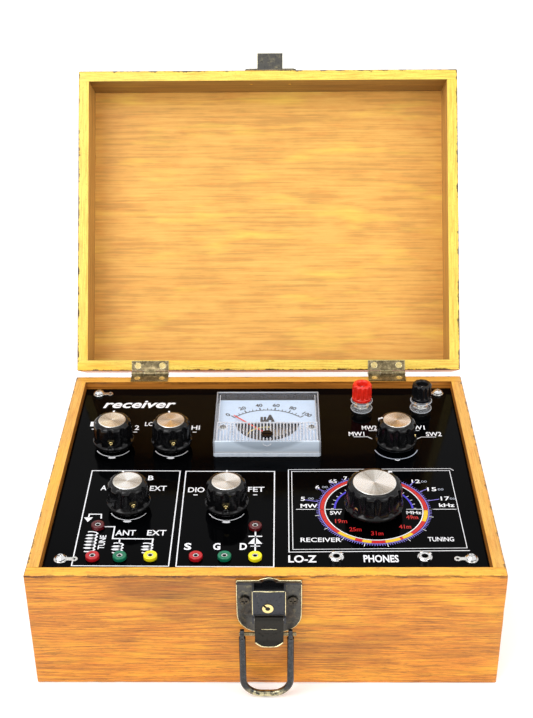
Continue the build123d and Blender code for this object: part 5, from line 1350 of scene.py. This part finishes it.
def screw_material():
    """Blackened screws on the front, bright brass ones in the hinges."""
    m = Mat("case_screw_finish")
    x, y, z = m.sep()
    back = m.remap(y, 0.0, 1.0)
    t = m.noise((1.2, 1.2, 1.2), (2, 2, 2), 3.0)
    br = m.mix(m.remap(t, 0.45, 0.75), (0.80, 0.62, 0.28), (0.34, 0.24, 0.10))
    dk2 = m.mix(m.remap(t, 0.45, 0.75), (0.045, 0.040, 0.035), (0.16, 0.13, 0.08))
    m.set(color=m.mix(back, dk2, br), metal=0.95, rough=m.math("MULTIPLY_ADD", t, 0.2, 0.22), normal=m.bump(t, 0.2, 0.02))
    return m.mat


refine("case_screws", [screw_material()], 0.15, 2)
refine("lid_screws", [brass], 0.15, 2)

# ================================================================ inside the case
refine("switch_bodies", phenolic, 0.3, 2)
refine("capacitor_frame", alum, 0.2, 2)
refine("capacitor_stator", alum, 0, 1)
refine("tuning_rotor", alum, 0, 1)
refine("ferrite_rod", ferrite, 0.4, 2)
refine("detector_board", board_green, 0.15, 2)
wires = []
for x0w, ln in ((-52.0, 46.0), (8.0, 30.0)):
    pts = []
    turns = int((ln - 7) / 0.75)
    for q in range(turns * 14 + 1):
        a = 2 * math.pi * q / 14
        pts.append((x0w - ln / 2 + 3.5 + (ln - 7) * q / (turns * 14), 4.0 + 6.75 * math.cos(a), 20.0 + 6.75 * math.sin(a)))
    wires.append(tube(pts, 0.34, 6))
v, f, i = join(*wires)
obj_from("antenna_winding", v, f, copper, "case")
paint("antenna_coils", phenolic)

# ================================================================ floor, light, camera
fl = bpy.data.meshes.new("floor")
fl.from_pydata([(-6, -5, -0.0002), (6, -5, -0.0002), (6, 9, -0.0002), (-6, 9, -0.0002)], [], [(0, 1, 2, 3)])
floor = link(bpy.data.objects.new("floor", fl))
fm = Mat("floor_pale")
fn = fm.noise((0.004, 0.004, 0.004), (1, 1, 1), 2.0)
fm.set(color=fm.mix(fn, (0.93, 0.93, 0.935), (0.96, 0.96, 0.962)), rough=0.9, spec=0.1)
fm.b.inputs["Emission Color"].default_value = (0.96, 0.98, 1.0, 1.0)
fm.b.inputs["Emission Strength"].default_value = 0.22
fl.materials.append(fm.mat)

w = bpy.data.worlds.new("studio")
bpy.context.scene.world = w
w.use_nodes = True
w.node_tree.nodes["Background"].inputs[0].default_value = (1.0, 1.0, 1.0, 1.0)
w.node_tree.nodes["Background"].inputs[1].default_value = 0.95


def area(name, loc, target, size, power, color=(1, 1, 1)):
    ld = bpy.data.lights.new(name, "AREA")
    ld.shape = "RECTANGLE"
    ld.size, ld.size_y = size
    ld.energy = power
    ld.color = color
    o = link(bpy.data.objects.new(name, ld))
    o.location = loc
    d = Vector(target) - Vector(loc)
    o.rotation_euler = d.to_track_quat("-Z", "Y").to_euler()
    return o


area("key", (-0.75, -0.75, 1.35), (0, 0.05, 0.08), (0.9, 0.9), 11.0, (1.0, 0.99, 0.975))
area("fill", (1.1, -0.9, 0.8), (0, 0.05, 0.08), (0.8, 0.8), 4.0, (0.97, 0.985, 1.0))
area("top", (0.0, 0.35, 1.5), (0, 0.1, 0.05), (1.2, 0.7), 4.0)

cam_d = bpy.data.cameras.new("camera")
cam = link(bpy.data.objects.new("camera", cam_d))
yaw, pitch, roll = math.radians(-1.0235), 0.531, -0.0118
fw = Vector((math.sin(yaw) * math.cos(pitch), math.cos(yaw) * math.cos(pitch), -math.sin(pitch)))
r0 = Vector((math.cos(yaw), -math.sin(yaw), 0.0))
u0 = r0.cross(fw)
rr = math.cos(roll) * r0 + math.sin(roll) * u0
uu = -math.sin(roll) * r0 + math.cos(roll) * u0
cam.matrix_world = Matrix(((rr.x, uu.x, -fw.x, 0.0089895), (rr.y, uu.y, -fw.y, -0.5991119), (rr.z, uu.z, -fw.z, 0.4981382), (0, 0, 0, 1)))
cam_d.sensor_fit = "VERTICAL"
cam_d.sensor_height = 36.0
cam_d.sensor_width = 36.0
cam_d.lens = 1254.54 / 718.0 * 36.0
cam_d.shift_x = 0.00546
cam_d.shift_y = 0.0004
cam_d.clip_start = 0.01
cam_d.clip_end = 60.0
bpy.context.scene.camera = cam
bpy.context.scene.view_settings.view_transform = "Standard"
bpy.context.scene.view_settings.look = "None"
